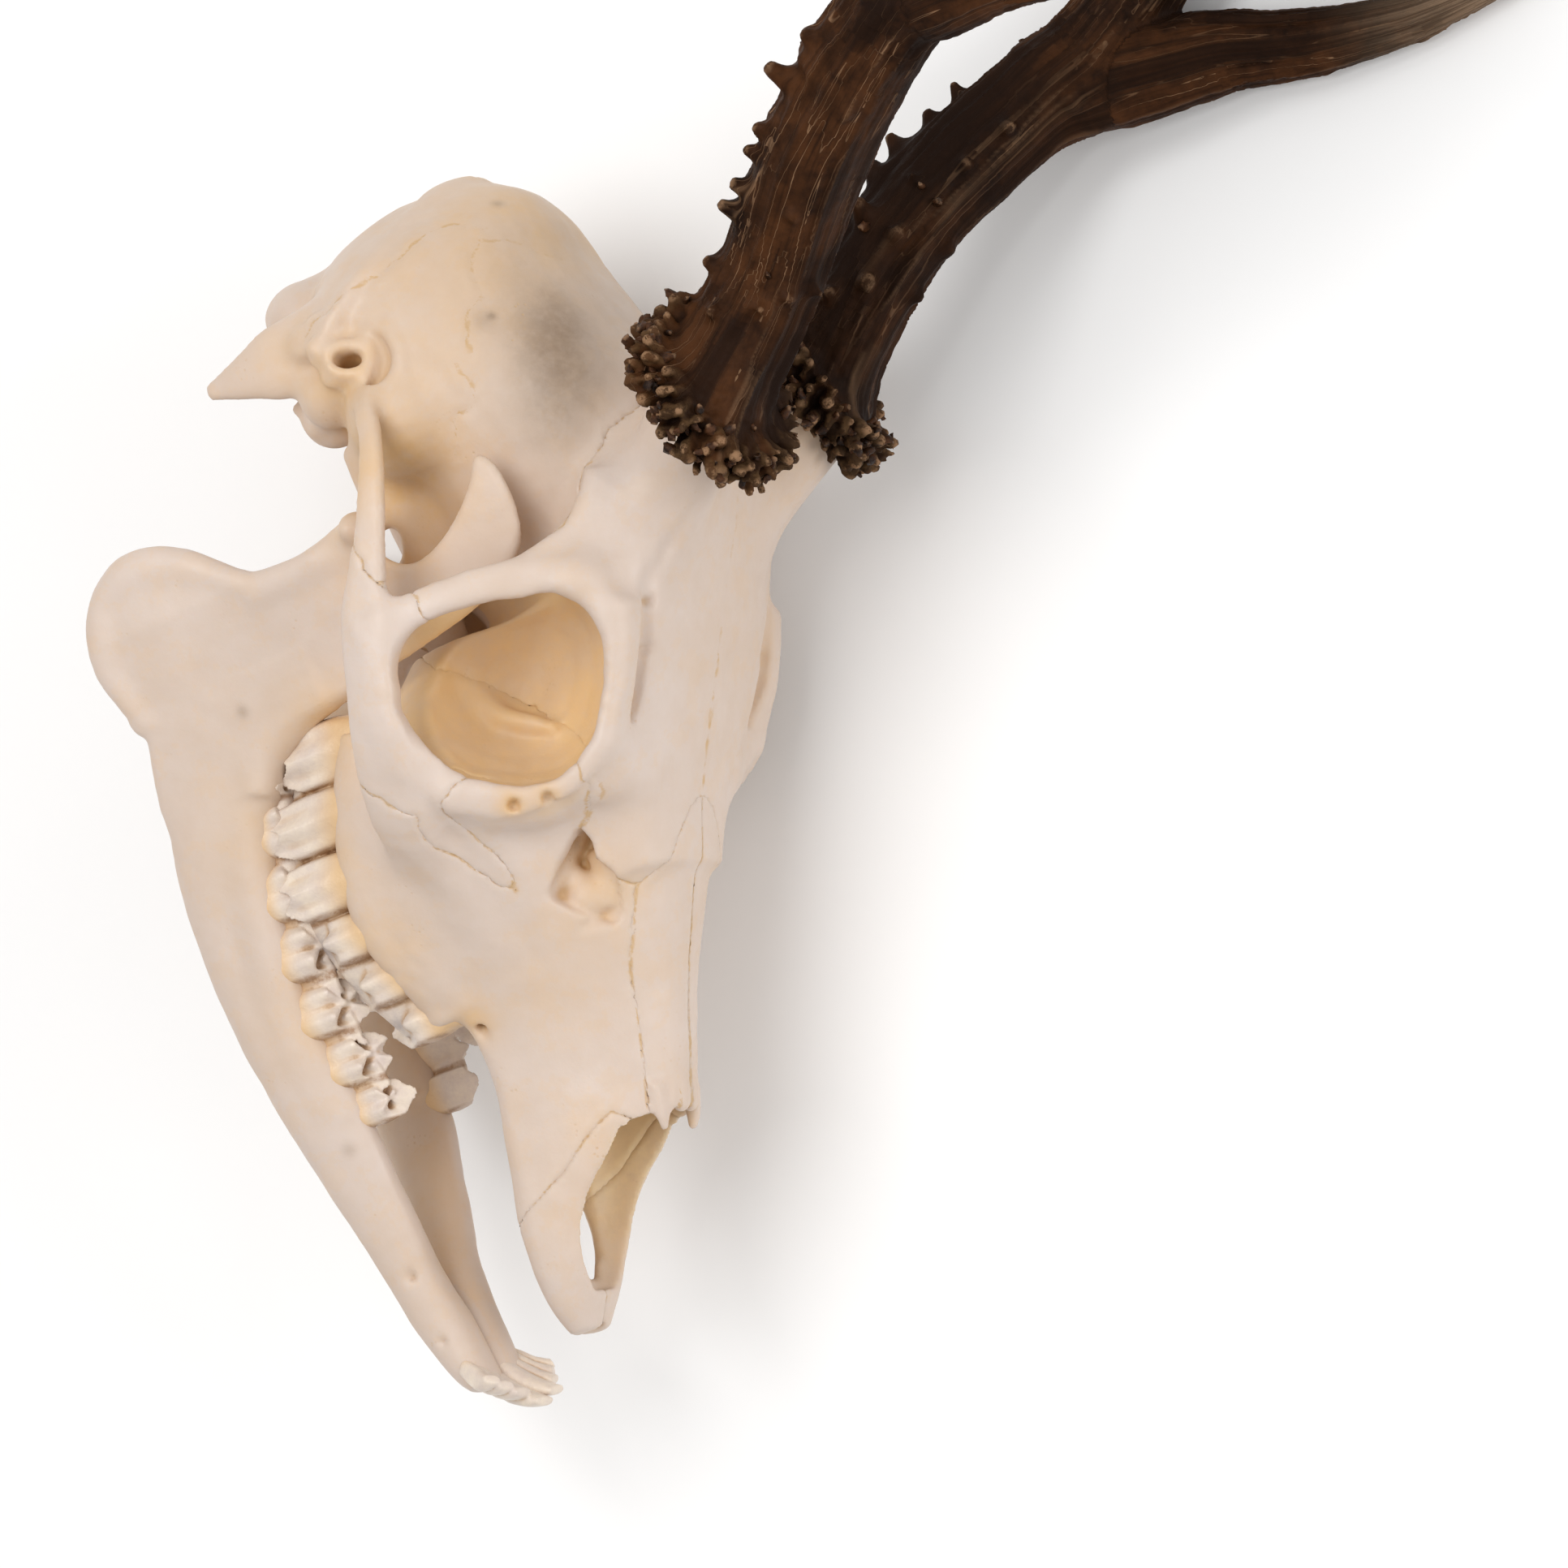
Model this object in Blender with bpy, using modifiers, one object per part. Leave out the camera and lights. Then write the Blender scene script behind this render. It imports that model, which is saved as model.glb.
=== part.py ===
"""Roe buck skull with its antlers and lower jaw, life size, as it rests on its left side.

Every bone is modelled in the skull's own frame, in millimetres: X to the animal's right, Y towards the
nose, Z towards the crown, with the origin at the front tip of the upper jaw and the upper tooth row level.
The last step turns the finished bones onto the floor, on the three points that carry the weight.
"""

import math

import bmesh
import bpy
from mathutils import Matrix, Vector

MM = 0.001
CLEARANCE = 0.3  # between neighbouring bones
FAR = 600.0  # longer than anything here, for cutting blocks
SIDES = (("right", 1), ("left", -1))

# Braincase and face, as sections across the skull:
# (place along Y, half width, top, bottom, level of the widest point)
BRAINCASE = [
    (-196.5, 9, 45, 28, 37),
    (-195, 18, 49, 20, 33),
    (-191.5, 24.5, 53.5, 14, 29),
    (-185, 28, 58, 12, 27),
    (-176, 29.5, 63, 10, 30),
    (-164, 30, 68.5, 11, 38),
    (-152, 28, 73, 13, 43),
    (-140, 24, 76, 16, 46),
    (-128, 20, 76, 20, 50),
    (-116, 18, 71, 26, 50),
]
FOREHEAD = [
    (-154, 12, 71.5, 56, 62),
    (-144, 17.5, 76.5, 54, 64),
    (-134, 22.5, 77.5, 52, 61),
    (-125, 28.5, 75.6, 47, 56),
    (-113, 31.2, 70.3, 45, 53),
    (-101, 29.5, 62.8, 42, 50),
    (-90, 24, 56, 38, 43.5),
    (-80, 20, 51, 34, 40),
    (-70, 17, 47, 30, 36),
]
MUZZLE = [
    (-119, 20, 56, 8, 24),
    (-108, 27, 56, 1, 14),
    (-98, 30.5, 54, -4.5, 10),
    (-88, 30, 51, -8.6, 6),
    (-78, 27.5, 48.2, -9.4, 3),
    (-68, 23.8, 45.2, -6.6, 2),
    (-60, 20, 41.8, -3.6, 3),
    (-52, 16.2, 38.4, -0.8, 4),
    (-43, 14, 35.2, -1.2, 4),
    (-35, 13.2, 32.6, -2.8, 2.5),
    (-28, 12.8, 29.6, -4.2, 2),
    (-20, 12.7, 17.5, -5.6, 0.5),
    (-11, 11.4, 9, -6, -0.5),
    (-4, 8.8, 4, -5.4, -1),
    (1.2, 4.8, 1.2, -4, -1.4),
]
NASAL_PASSAGE = [
    (-72, 6, 34, 12, 22),
    (-60, 10.5, 33.5, 8, 17),
    (-45, 11, 31, 6, 13),
    (-32, 10.2, 28.3, 3.5, 11),
    (-27, 9.8, 33, 2.2, 10),
    (-18, 9.8, 30, 0.6, 8),
    (-10, 8, 24, 0.4, 8),
    (-5, 4.5, 20, 0.8, 8),
]
PALATE_VAULT = [
    (-104, 8, 3, -30, -12),
    (-96, 16, -1, -30, -14),
    (-80, 15.6, -4, -30, -16),
    (-67, 12, -3, -26, -12),
    (-57, 8.5, -1.5, -20, -8),
    (-44, 7, -1.2, -14, -8),
    (-30, 8, -1.2, -14, -8),
    (-16, 8, -1.4, -14, -8),
    (-9, 5, -2.6, -14, -8),
]

# Orbit: the rim's centre, the way the eye looked out, and the opening's radius
ORBIT_CENTRE = Vector((36.5, -101.5, 37))
ORBIT_LOOK = Vector((0.93, 0.18, 0.32)).normalized()
ORBIT_RADIUS = 16.9
ORBIT_DEPTH = 26
RIM_THICKNESS = 2.0
RIM_SWELLING = 0.8  # thicker at the upper rear and lower front, thinner between

# Bars of bone: (centre, half thickness, half height)
CHEEK_BAR = [
    ((24, -82, 9), 3, 4),
    ((35, -90, 12), 3.6, 6),
    ((42.2, -101, 15.5), 3.0, 5.8),
    ((44.7, -112, 18.8), 2.6, 5.2),
    ((45, -124, 21.5), 2.4, 4.4),
    ((44, -136, 24.5), 2.2, 3.3),
    ((42, -147, 28), 2.3, 3.2),
    ((38, -156, 30.5), 2.8, 4),
    ((30, -163, 31.5), 3.5, 5),
]
EYE_BAR = [
    ((24, -132, 62), 3.4, 8),
    ((31, -128, 52), 2.8, 5.6),
    ((37.5, -125, 40.5), 2.3, 4.6),
    ((42, -122, 30), 2.2, 4.8),
    ((44, -119, 20), 2.2, 6),
]
NUCHAL_CREST = [
    ((31, -172, 19), 2.1, 3),
    ((28, -177, 28), 1.8, 2.2),
    ((20, -183, 39.5), 1.8, 2.2),
    ((10, -190, 47.5), 1.9, 2.2),
    ((0, -193.5, 50), 2.2, 2.8),
]
JUGULAR_PROCESS = [
    ((23, -176, 20), 3.5, 8.5),
    ((25.5, -176, 10), 2.8, 6.8),
    ((26, -176, 2.5), 2.1, 4),
    ((25.8, -176, -4.6), 1.3, 1.5),
]
PTERYGOID = [
    ((12, -98, 8), 3, 10),
    ((9.5, -110, 10), 2.2, 9),
    ((8.5, -122, 14), 2, 7.5),
    ((9, -134, 17), 2.2, 4),
]
SKULL_BASE = [
    ((0, -120, 20), 5, 4),
    ((0, -140, 14.5), 5.5, 4),
    ((0, -160, 12.5), 7.5, 4),
    ((0, -176, 11.5), 10, 4),
    ((0, -187, 12), 9, 5),
]

# Cheek teeth from the rearmost forwards:
# (middle along Y, outer X, half length, half width, lobes, gum line, biting edge)
UPPER_TEETH = [
    (-108, 27.8, 6.0, 5.4, 2, -1.5, -10.5),
    (-96.6, 28.3, 5.4, 5.6, 2, -6.0, -14.5),
    (-85.8, 27.6, 5.4, 5.4, 2, -8.5, -17),
    (-76.1, 25.2, 4.4, 4.8, 1, -9, -17.5),
    (-67.4, 21.7, 4.4, 4.4, 1, -6.5, -15),
    (-58.9, 17.8, 4.2, 3.7, 1, -3.5, -11),
]
LOWER_TEETH = [
    (-106.4, 28.8, 2.7, 3.8, 1, -16, -13.4),
    (-98.8, 28.4, 5.1, 4.0, 2, -20, -15.4),
    (-88, 27.2, 5.4, 4.0, 2, -23, -17.5),
    (-77, 25.0, 5.3, 3.9, 2, -25, -18.3),
    (-66.6, 22.2, 4.9, 3.6, 2, -26.5, -18.8),
    (-56.9, 19.3, 4.6, 3.2, 1, -26, -18),
    (-48.4, 16.4, 3.8, 2.7, 1, -24.8, -16.5),
]

# Lower jaw, with the mouth open as found: (place along Y, middle X, half thickness, top, bottom)
JAW_BODY = [
    (6.5, 3.4, 4.4, -19.5, -25),
    (1.5, 3.8, 4.8, -20, -28),
    (-8, 4.4, 5.0, -21.5, -31),
    (-18, 6.8, 4.6, -23, -32.8),
    (-28, 9.8, 3.9, -24.2, -34.5),
    (-42, 13.6, 3.9, -24.8, -37),
    (-54, 16.2, 4.4, -26, -39.2),
    (-68, 19, 4.8, -26.5, -41),
    (-84, 21.8, 5.0, -24.5, -41.2),
    (-98, 24.4, 4.8, -20, -39.8),
    (-112, 26.6, 3.8, -12.5, -36.6),
    (-124, 28.6, 2.6, 0, -34.6),
]
# The rear plate of the lower jaw, seen from the side: (Y, Z) round its outline
JAW_PLATE = [
    (-106, -18),
    (-114.5, -9),
    (-117.5, 6),
    (-119.5, 24),
    (-122.5, 37),
    (-128.5, 46),
    (-136.5, 47.6),
    (-144.5, 42.5),
    (-138, 40),
    (-133, 35),
    (-130.5, 28.5),
    (-133, 24),
    (-138.5, 21.5),
    (-142.5, 17),
    (-140, 8),
    (-140.5, -3),
    (-145, -10.5),
    (-150.8, -18),
    (-152.2, -26),
    (-148.8, -33),
    (-142, -37.4),
    (-133.5, -38),
    (-128, -35.5),
    (-122, -34),
    (-106, -36.5),
]
JAW_PLATE_HALF_THICKNESS = 1.7
JAW_CONDYLE = ((33, -140.5, 19.5), (6.5, 3.4, 3.0))

# Antlers: (centre, radius) along each run
PEDICLE = [((15, -128, 64), 10), ((17.2, -133, 74), 8.8), ((19.8, -139, 82), 9.2)]
CORONET_CENTRE = Vector((21, -141.6, 86.4))
CORONET_AXIS = Vector((0.18, -0.24, 0.95)).normalized()
CORONET_RADIUS = 16.5
CORONET_THICKNESS = 5.2
CORONET_PEARLS = 15
BEAM = [
    ((20.8, -141, 85), 11.5),
    ((19.8, -146.3, 91), 10.2),
    ((19.6, -151.3, 97.3), 9.6),
    ((20.8, -156.6, 103.8), 9.2),
    ((23.4, -161.6, 110.2), 9.1),
    ((27.3, -166.5, 116.8), 9.2),
    ((31.6, -170.9, 123.6), 9.5),
    ((35.8, -175, 130.8), 10),
    ((39.4, -178.9, 138), 10.4),
    ((42.2, -183, 146.5), 10.2),
    ((43.6, -189, 157), 9.2),
    ((44.4, -195.5, 168.5), 7.8),
    ((44.9, -201, 180), 7.0),
    ((45, -205, 192), 6.8),
    ((44.8, -205.5, 205), 5.4),
    ((44, -203, 219), 4.2),
    ((43, -199, 232), 2.9),
    ((41.5, -195, 243), 1.0),
]
FRONT_TINE = [
    ((38.5, -178.5, 135), 8.8),
    ((41.0, -176.7, 144.7), 8.6),
    ((44.0, -175.8, 157.1), 7.9),
    ((46.5, -174.5, 168.7), 6.9),
    ((48.0, -172.1, 177.0), 6.0),
    ((49.5, -169.9, 185.4), 5.4),
    ((50.8, -168.5, 194.1), 4.6),
    ((51.8, -167.4, 203.0), 3.9),
    ((52.6, -167.3, 212.3), 3.1),
    ((53.3, -167.7, 221.8), 2.2),
    ((54.0, -168.7, 230.7), 0.9),
]
REAR_TINE = [
    ((45, -207, 190), 5.8),
    ((46, -214, 199), 5.3),
    ((46.7, -223, 207), 4.1),
    ((47.2, -232, 214), 2.8),
    ((47.5, -240, 220), 0.9),
]
BEAM_PEARLS = 9
RIGHT_TINE_SHIFT = Vector((1.5, -4.5, 1.5))  # the right front tine against the mirrored left one
LEFT_ANTLER_SHIFT = Vector((0, -2.9, 1.0))  # the left antler against the mirrored right one
LEFT_JAW_SHIFT = Vector((0, -1.6, 0.6))  # the loose left jaw half against the mirrored right one

# Planes that part the bones, each as (a point on it, its normal)
CORONAL_SEAM = (Vector((0, -128, 20)), Vector((0, 52, 22)))
BROW_SEAM = (Vector((0, -79, 50)), Vector((0, -40, 43)))
NASAL_FLOOR = (Vector((0, -80, 37)), Vector((0, 14, 52)))
NASAL_SIDE = (Vector((12.4, -68, 0)), Vector((1, -0.085, 0)))
PREMAXILLA_SEAM = (Vector((0, -31, 22)), Vector((0, 22, 9)))
CHEEK_SEAM_X = 38.0
NOSE_AWAY = Vector((0.014, -0.939, 0.344))  # what points to +Y once the skull lies down
FORK = Vector((43.8, -182, 164))
FORK_SPLIT = Vector((0, 1, 0.08))  # normals of the three seams that meet at the fork
FRONT_TINE_SEAM = Vector((0.1, 0.62, 0.78))
UPPER_BEAM_SEAM = Vector((0.1, -0.59, 0.8))
REAR_TINE_SEAM = (Vector((45, -211.8, 206)), Vector((0, -0.97, 0.24)))

# Grid size and triangle budget of each fused solid
CRANIUM_VOXEL, CRANIUM_TRIANGLES = 1.3, 3850
JAW_VOXEL, JAW_TRIANGLES = 1.1, 780
ANTLER_VOXEL, ANTLER_TRIANGLES = 1.2, 880

BONE = {"color": (0.80, 0.70, 0.58), "roughness": 0.55}
ANTLER = {"color": (0.10, 0.055, 0.03), "roughness": 0.5}


def collection(name, hidden=False):
    made = bpy.data.collections.new(name)
    bpy.context.scene.collection.children.link(made)
    made.hide_render = hidden
    return made


def material(name, color, roughness):
    made = bpy.data.materials.new(name)
    made.use_nodes = True
    surface = made.node_tree.nodes["Principled BSDF"]
    surface.inputs["Base Color"].default_value = (*color, 1)
    surface.inputs["Roughness"].default_value = roughness
    surface.inputs["Metallic"].default_value = 0
    return made


def smooth_path(rows, steps):
    """The rows, with steps - 1 more between each two, on a Catmull-Rom curve through them."""
    found = []
    last = len(rows) - 1
    for i in range(last):
        a, b, c, d = rows[max(i - 1, 0)], rows[i], rows[i + 1], rows[min(i + 2, last)]
        for step in range(steps):
            t = step / steps
            found.append(
                tuple(
                    q + t * (r - p + t * (2 * p - 5 * q + 4 * r - s + t * (3 * (q - r) + s - p))) / 2
                    for p, q, r, s in zip(a, b, c, d)
                )
            )
    return found + [tuple(rows[-1])]


def loft(rings):
    """A closed mesh through rings of points, with a flat cap at each end."""
    shape = bmesh.new()
    made = [[shape.verts.new(point) for point in ring] for ring in rings]
    count = len(rings[0])
    for low, high in zip(made, made[1:]):
        for i in range(count):
            j = (i + 1) % count
            shape.faces.new((low[i], low[j], high[j], high[i]))
    shape.faces.new(list(reversed(made[0])))
    shape.faces.new(made[-1])
    bmesh.ops.recalc_face_normals(shape, faces=shape.faces)
    return shape


def squircle(angle, power):
    """A point on a unit circle that is squared off as power rises above 2."""
    c, s = math.cos(angle), math.sin(angle)
    return (
        math.copysign(abs(c) ** (2 / power), c),
        math.copysign(abs(s) ** (2 / power), s),
    )


def sections(rows, power=2.2, steps=3, sides=28):
    """A loft along Y through sections that each give half width, top, bottom and widest level."""
    rings = []
    for y, half_width, top, bottom, widest in smooth_path(rows, steps):
        ring = []
        for i in range(sides):
            across, up = squircle(math.tau * i / sides, power)
            height = top - widest if up > 0 else widest - bottom
            ring.append(Vector((half_width * across, y, widest + height * up)))
        rings.append(ring)
    return loft(rings)


def bar(rows, steps=3, sides=12, power=2.4, thin_side=Vector((1, 0, 0))):
    """A loft along a path of (centre, half thickness, half height); thin_side is the way the thickness lies."""
    flat = smooth_path([(*centre, thick, high) for centre, thick, high in rows], steps)
    centres = [Vector(row[:3]) for row in flat]
    rings = []
    for i, row in enumerate(flat):
        along = (centres[min(i + 1, len(flat) - 1)] - centres[max(i - 1, 0)]).normalized()
        high = along.cross(thin_side).normalized()
        thin = high.cross(along).normalized()
        ring = []
        for k in range(sides):
            a, b = squircle(math.tau * k / sides, power)
            ring.append(centres[i] + thin * a * row[3] + high * b * row[4])
        rings.append(ring)
    return loft(rings)


def rod(rows, steps=3, sides=14):
    """A round tapering bar along (centre, radius)."""
    return bar([(c, r, r) for c, r in rows], steps, sides, power=2)


def ball(centre, radii, turn=None, segments=16):
    shape = bmesh.new()
    bmesh.ops.create_uvsphere(shape, u_segments=segments, v_segments=segments // 2, radius=1)
    place = Matrix.Translation(centre) @ (turn or Matrix()) @ Matrix.Diagonal((*radii, 1))
    bmesh.ops.transform(shape, matrix=place, verts=shape.verts)
    return shape


def turned_to(direction):
    """The turn that brings +Z onto direction."""
    return Vector(direction).to_track_quat("Z", "Y").to_matrix().to_4x4()


def join(shapes, mirror_too=False):
    """One mesh datablock of all the shapes, and of their mirror images if asked."""
    mesh = bpy.data.meshes.new("shapes")
    whole = bmesh.new()
    for shape in shapes:
        part = bpy.data.meshes.new("shape")
        shape.to_mesh(part)
        whole.from_mesh(part)
        if mirror_too:
            bmesh.ops.scale(shape, vec=(-1, 1, 1), verts=shape.verts)
            bmesh.ops.reverse_faces(shape, faces=shape.faces)
            shape.to_mesh(part)
            whole.from_mesh(part)
        shape.free()
        bpy.data.meshes.remove(part)
    whole.to_mesh(mesh)
    whole.free()
    return mesh


def place(name, mesh, where):
    made = bpy.data.objects.new(name, mesh)
    where.objects.link(made)
    return made


def bake(obj):
    """Replaces an object's mesh by what its modifiers make of it."""
    graph = bpy.context.evaluated_depsgraph_get()
    made = bpy.data.meshes.new_from_object(obj.evaluated_get(graph))
    obj.modifiers.clear()
    obj.data = made


def remesh(obj, voxel):
    modifier = obj.modifiers.new("remesh", "REMESH")
    modifier.mode = "VOXEL"
    modifier.voxel_size = voxel
    bake(obj)


def boolean(obj, other, operation):
    modifier = obj.modifiers.new(operation.lower(), "BOOLEAN")
    modifier.operation = operation
    modifier.solver = "EXACT"
    modifier.object = other
    bake(obj)


def soften(obj, rounds):
    modifier = obj.modifiers.new("smooth", "SMOOTH")
    modifier.factor = 0.5
    modifier.iterations = rounds
    bake(obj)


def reduce_to(obj, triangles):
    obj.data.calc_loop_triangles()
    modifier = obj.modifiers.new("reduce", "DECIMATE")
    modifier.ratio = min(1.0, triangles / len(obj.data.loop_triangles))
    bake(obj)


def fuse(name, shapes, voxel, triangles):
    """Melts overlapping shapes into one smooth solid and brings it down to a triangle budget."""
    solid = place(name, join(shapes), CUTTERS)
    remesh(solid, voxel)
    soften(solid, 3)
    reduce_to(solid, triangles)
    return solid


def half_space(plane, keep):
    """A large block whose face lies on the plane, half a clearance back, on the side that keep (1 or -1) names."""
    point, normal = plane
    normal = normal.normalized() * keep
    shape = bmesh.new()
    bmesh.ops.create_cube(shape, size=FAR)
    middle = point + normal * (FAR + CLEARANCE) / 2
    bmesh.ops.transform(shape, matrix=Matrix.Translation(middle) @ turned_to(normal), verts=shape.verts)
    return place("half_space", join([shape]), CUTTERS)


def drop_crumbs(obj):
    """Keeps only the largest connected share of a mesh."""
    shape = bmesh.new()
    shape.from_mesh(obj.data)
    left = set(shape.verts)
    shares = []
    while left:
        share, edge = set(), [left.pop()]
        while edge:
            vertex = edge.pop()
            share.add(vertex)
            fresh = {e.other_vert(vertex) for e in vertex.link_edges} & left
            left -= fresh
            edge += fresh
        shares.append(share)
    largest = max(shares, key=len)
    bmesh.ops.delete(shape, geom=[v for v in shape.verts if v not in largest], context="VERTS")
    shape.to_mesh(obj.data)
    shape.free()


def piece(name, solid, sides_of_planes, where):
    """The share of solid on the named side of each plane, as an object of its own."""
    made = place(name, solid.data.copy(), where)
    for plane, keep in sides_of_planes:
        boolean(made, half_space(plane, keep), "INTERSECT")
    drop_crumbs(made)
    return made


def nasal_block():
    """The wedge of space that the nasal bones fill, with a full clearance round it."""
    shape = bmesh.new()
    bmesh.ops.create_cube(shape, size=FAR)
    block = place("nasal_block", join([shape]), CUTTERS)
    for plane, keep in nasal_planes():
        point, normal = plane
        wider = point - normal.normalized() * keep * CLEARANCE
        boolean(block, half_space((wider, normal), keep), "INTERSECT")
    return block


def nasal_planes():
    return [(BROW_SEAM, -1), (NASAL_FLOOR, 1), (NASAL_SIDE, -1), (mirrored_plane(NASAL_SIDE), -1)]


def mirrored_plane(plane, shift=Vector((0, 0, 0))):
    point, normal = (Vector((-v.x, v.y, v.z)) for v in plane)
    return point + shift, normal


def orbit_rim():
    """The raised ring of bone round the eye socket."""
    across = ORBIT_LOOK.cross(Vector((0, 0, 1))).normalized()
    up = across.cross(ORBIT_LOOK)
    count = 24
    rings = []
    for i in range(count):
        angle = math.tau * i / count
        out = across * math.cos(angle) + up * math.sin(angle)
        thick = RIM_THICKNESS + RIM_SWELLING * math.sin(2 * angle)
        centre = ORBIT_CENTRE + out * (ORBIT_RADIUS + thick * 0.55)
        turns = [math.tau * k / 10 for k in range(10)]
        rings.append([centre + (out * math.cos(t) + ORBIT_LOOK * math.sin(t)) * thick for t in turns])
    shape = bmesh.new()
    made = [[shape.verts.new(point) for point in ring] for ring in rings]
    for i in range(count):
        low, high = made[i], made[(i + 1) % count]
        for k in range(10):
            j = (k + 1) % 10
            shape.faces.new((low[k], low[j], high[j], high[k]))
    bmesh.ops.recalc_face_normals(shape, faces=shape.faces)
    return shape


def orbit_hollow():
    """The eye socket: an egg from just outside the rim, deep into the skull and a little backwards."""
    outside = 12
    half = (ORBIT_DEPTH + outside) / 2
    centre = ORBIT_CENTRE + ORBIT_LOOK * (outside - half) + Vector((0, -1.5, 0))
    radii = (ORBIT_RADIUS * 1.03, ORBIT_RADIUS * 1.03, half)
    return ball(centre, radii, turned_to(ORBIT_LOOK), 32)


def cheek_tooth(y, outer_x, half_length, half_width, lobes, gum, edge):
    """A tooth as one or more rounded lobes in a row, standing between the gum line and the biting edge."""
    x = outer_x - half_width
    shapes = []
    for lobe in range(lobes):
        share = half_length / lobes
        middle = y - half_length + share * (2 * lobe + 1)
        high = (edge - gum) / 2
        shapes.append(ball((x, middle, gum + high * 0.6), (half_width, share * 1.12, abs(high) * 1.35), segments=10))
    return shapes


def tooth_row(rows):
    return [lobe for row in rows for lobe in cheek_tooth(*row)]


def incisors():
    """Four front teeth of one side, each narrower than the last, fanned outwards and leaning forward."""
    shapes = []
    x = 0.35
    for width in (5.0, 3.4, 2.8, 2.2):
        x += width / 2
        lean = Vector((x * 0.035, 0.87, 0.48)).normalized()
        root = Vector((x * 0.85, 3.5, -21.6 + x * 0.1))
        tip_reach = 6.5 - x * 0.12
        shapes.append(ball(root + lean * tip_reach * 0.55, (width / 2, 1.3, tip_reach), turned_to(lean), 10))
        x += width / 2
    return shapes


def jaw_plate():
    """The thin rear plate of the right jaw half: a flat outline, thickened and leant outwards."""
    data = bpy.data.curves.new("jaw_plate", "CURVE")
    data.dimensions = "2D"
    data.fill_mode = "BOTH"
    data.extrude = JAW_PLATE_HALF_THICKNESS - 0.8
    data.bevel_depth = 0.8
    data.bevel_resolution = 1
    line = data.splines.new("POLY")
    outline = smooth_path(JAW_PLATE + [JAW_PLATE[0]], 3)[:-1]
    line.points.add(len(outline) - 1)
    for point, (y, z) in zip(line.points, outline):
        point.co = (y, z, 0, 1)
    line.use_cyclic_u = True
    obj = place("jaw_plate", data, CUTTERS)
    graph = bpy.context.evaluated_depsgraph_get()
    mesh = bpy.data.meshes.new_from_object(obj.evaluated_get(graph))
    bpy.data.objects.remove(obj)
    shape = bmesh.new()
    shape.from_mesh(mesh)
    bmesh.ops.remove_doubles(shape, verts=shape.verts, dist=0.01)
    for vertex in shape.verts:
        y, z, thick = vertex.co
        lean = jaw_plate_x(y, z)
        vertex.co = Vector((lean + thick, y, z))
    bmesh.ops.recalc_face_normals(shape, faces=shape.faces)
    return shape


def jaw_plate_x(y, z):
    """How far out the rear plate of the jaw lies: it leans out backwards, and its horn leans back in."""
    out = 26 + (-106 - y) * 0.24
    horn = max(0, z - 10) * 0.09
    return min(out, 34) - horn


def jaw_body():
    rings = []
    for y, middle, half, top, bottom in smooth_path(JAW_BODY, 3):
        ring = []
        for i in range(18):
            across, up = squircle(math.tau * i / 18, 2.4)
            ring.append(Vector((middle + half * across, y, (top + bottom) / 2 + (top - bottom) / 2 * up)))
        rings.append(ring)
    return loft(rings)


def jaw_half():
    centre, radii = JAW_CONDYLE
    shapes = [jaw_body(), jaw_plate(), ball(centre, radii, segments=14)]
    return shapes + tooth_row(LOWER_TEETH) + incisors()


def cranium_shapes():
    middle = [sections(BRAINCASE), sections(FOREHEAD, 2.3), sections(MUZZLE), bar(SKULL_BASE, sides=14)]
    paired = [
        orbit_rim(),
        bar(CHEEK_BAR),
        bar(EYE_BAR, thin_side=Vector((0.86, 0.2, 0.45))),
        bar(NUCHAL_CREST, thin_side=Vector((0, 1, 0))),
        bar(JUGULAR_PROCESS),
        bar(PTERYGOID),
        rod(PEDICLE),
        rod([((22, -166, 20), 6), ((27, -168.5, 23), 5.6), ((32, -170, 25.5), 5)]),
        ball((17, -166, 13), (5, 6.5, 5.5)),
        bar([((14, -86, 47), 5, 5), ((22, -88, 45), 5, 6), ((30.5, -91, 42), 2, 7)]),
        ball((11, -185.6, 10.8), (6.8, 7.5, 7.6)),
        ball((20, -158, 30), (14, 12, 12)),
    ]
    return middle, paired + tooth_row(UPPER_TEETH)


def cranium_cutters():
    middle = [
        sections(NASAL_PASSAGE, 2.4),
        sections(PALATE_VAULT, 2.6),
        ball((0, -200, 20), (8.5, 14, 8)),
        bar([((0, -98, 3), 5.5, 5), ((0, -112, 7), 5.5, 7), ((0, -128, 9), 5.5, 5)], sides=14),
    ]
    paired = [
        orbit_hollow(),
        rod([((26, -168, 22), 2), ((36, -171, 27), 3.2)]),
        bar([((5, -36, 0), 1.6, 6), ((5.8, -24, -1), 2.4, 6), ((5, -11, -1), 1.4, 6)]),
    ]
    return middle, paired


def coronet():
    """The rough collar at the foot of an antler: a disc with a wreath of pearls."""
    shapes = [ball(CORONET_CENTRE, (CORONET_RADIUS, CORONET_RADIUS, CORONET_THICKNESS), turned_to(CORONET_AXIS), 20)]
    turn = turned_to(CORONET_AXIS)
    for i in range(CORONET_PEARLS):
        angle = math.tau * i / CORONET_PEARLS
        reach = CORONET_RADIUS + 1.2 * math.sin(3 * angle)
        spot = turn @ Vector((reach * math.cos(angle), reach * math.sin(angle), 0.5 * math.sin(5 * angle)))
        shapes.append(ball(CORONET_CENTRE + spot, (3.4, 3.4, 4.0), turn, 8))
    return shapes


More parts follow.
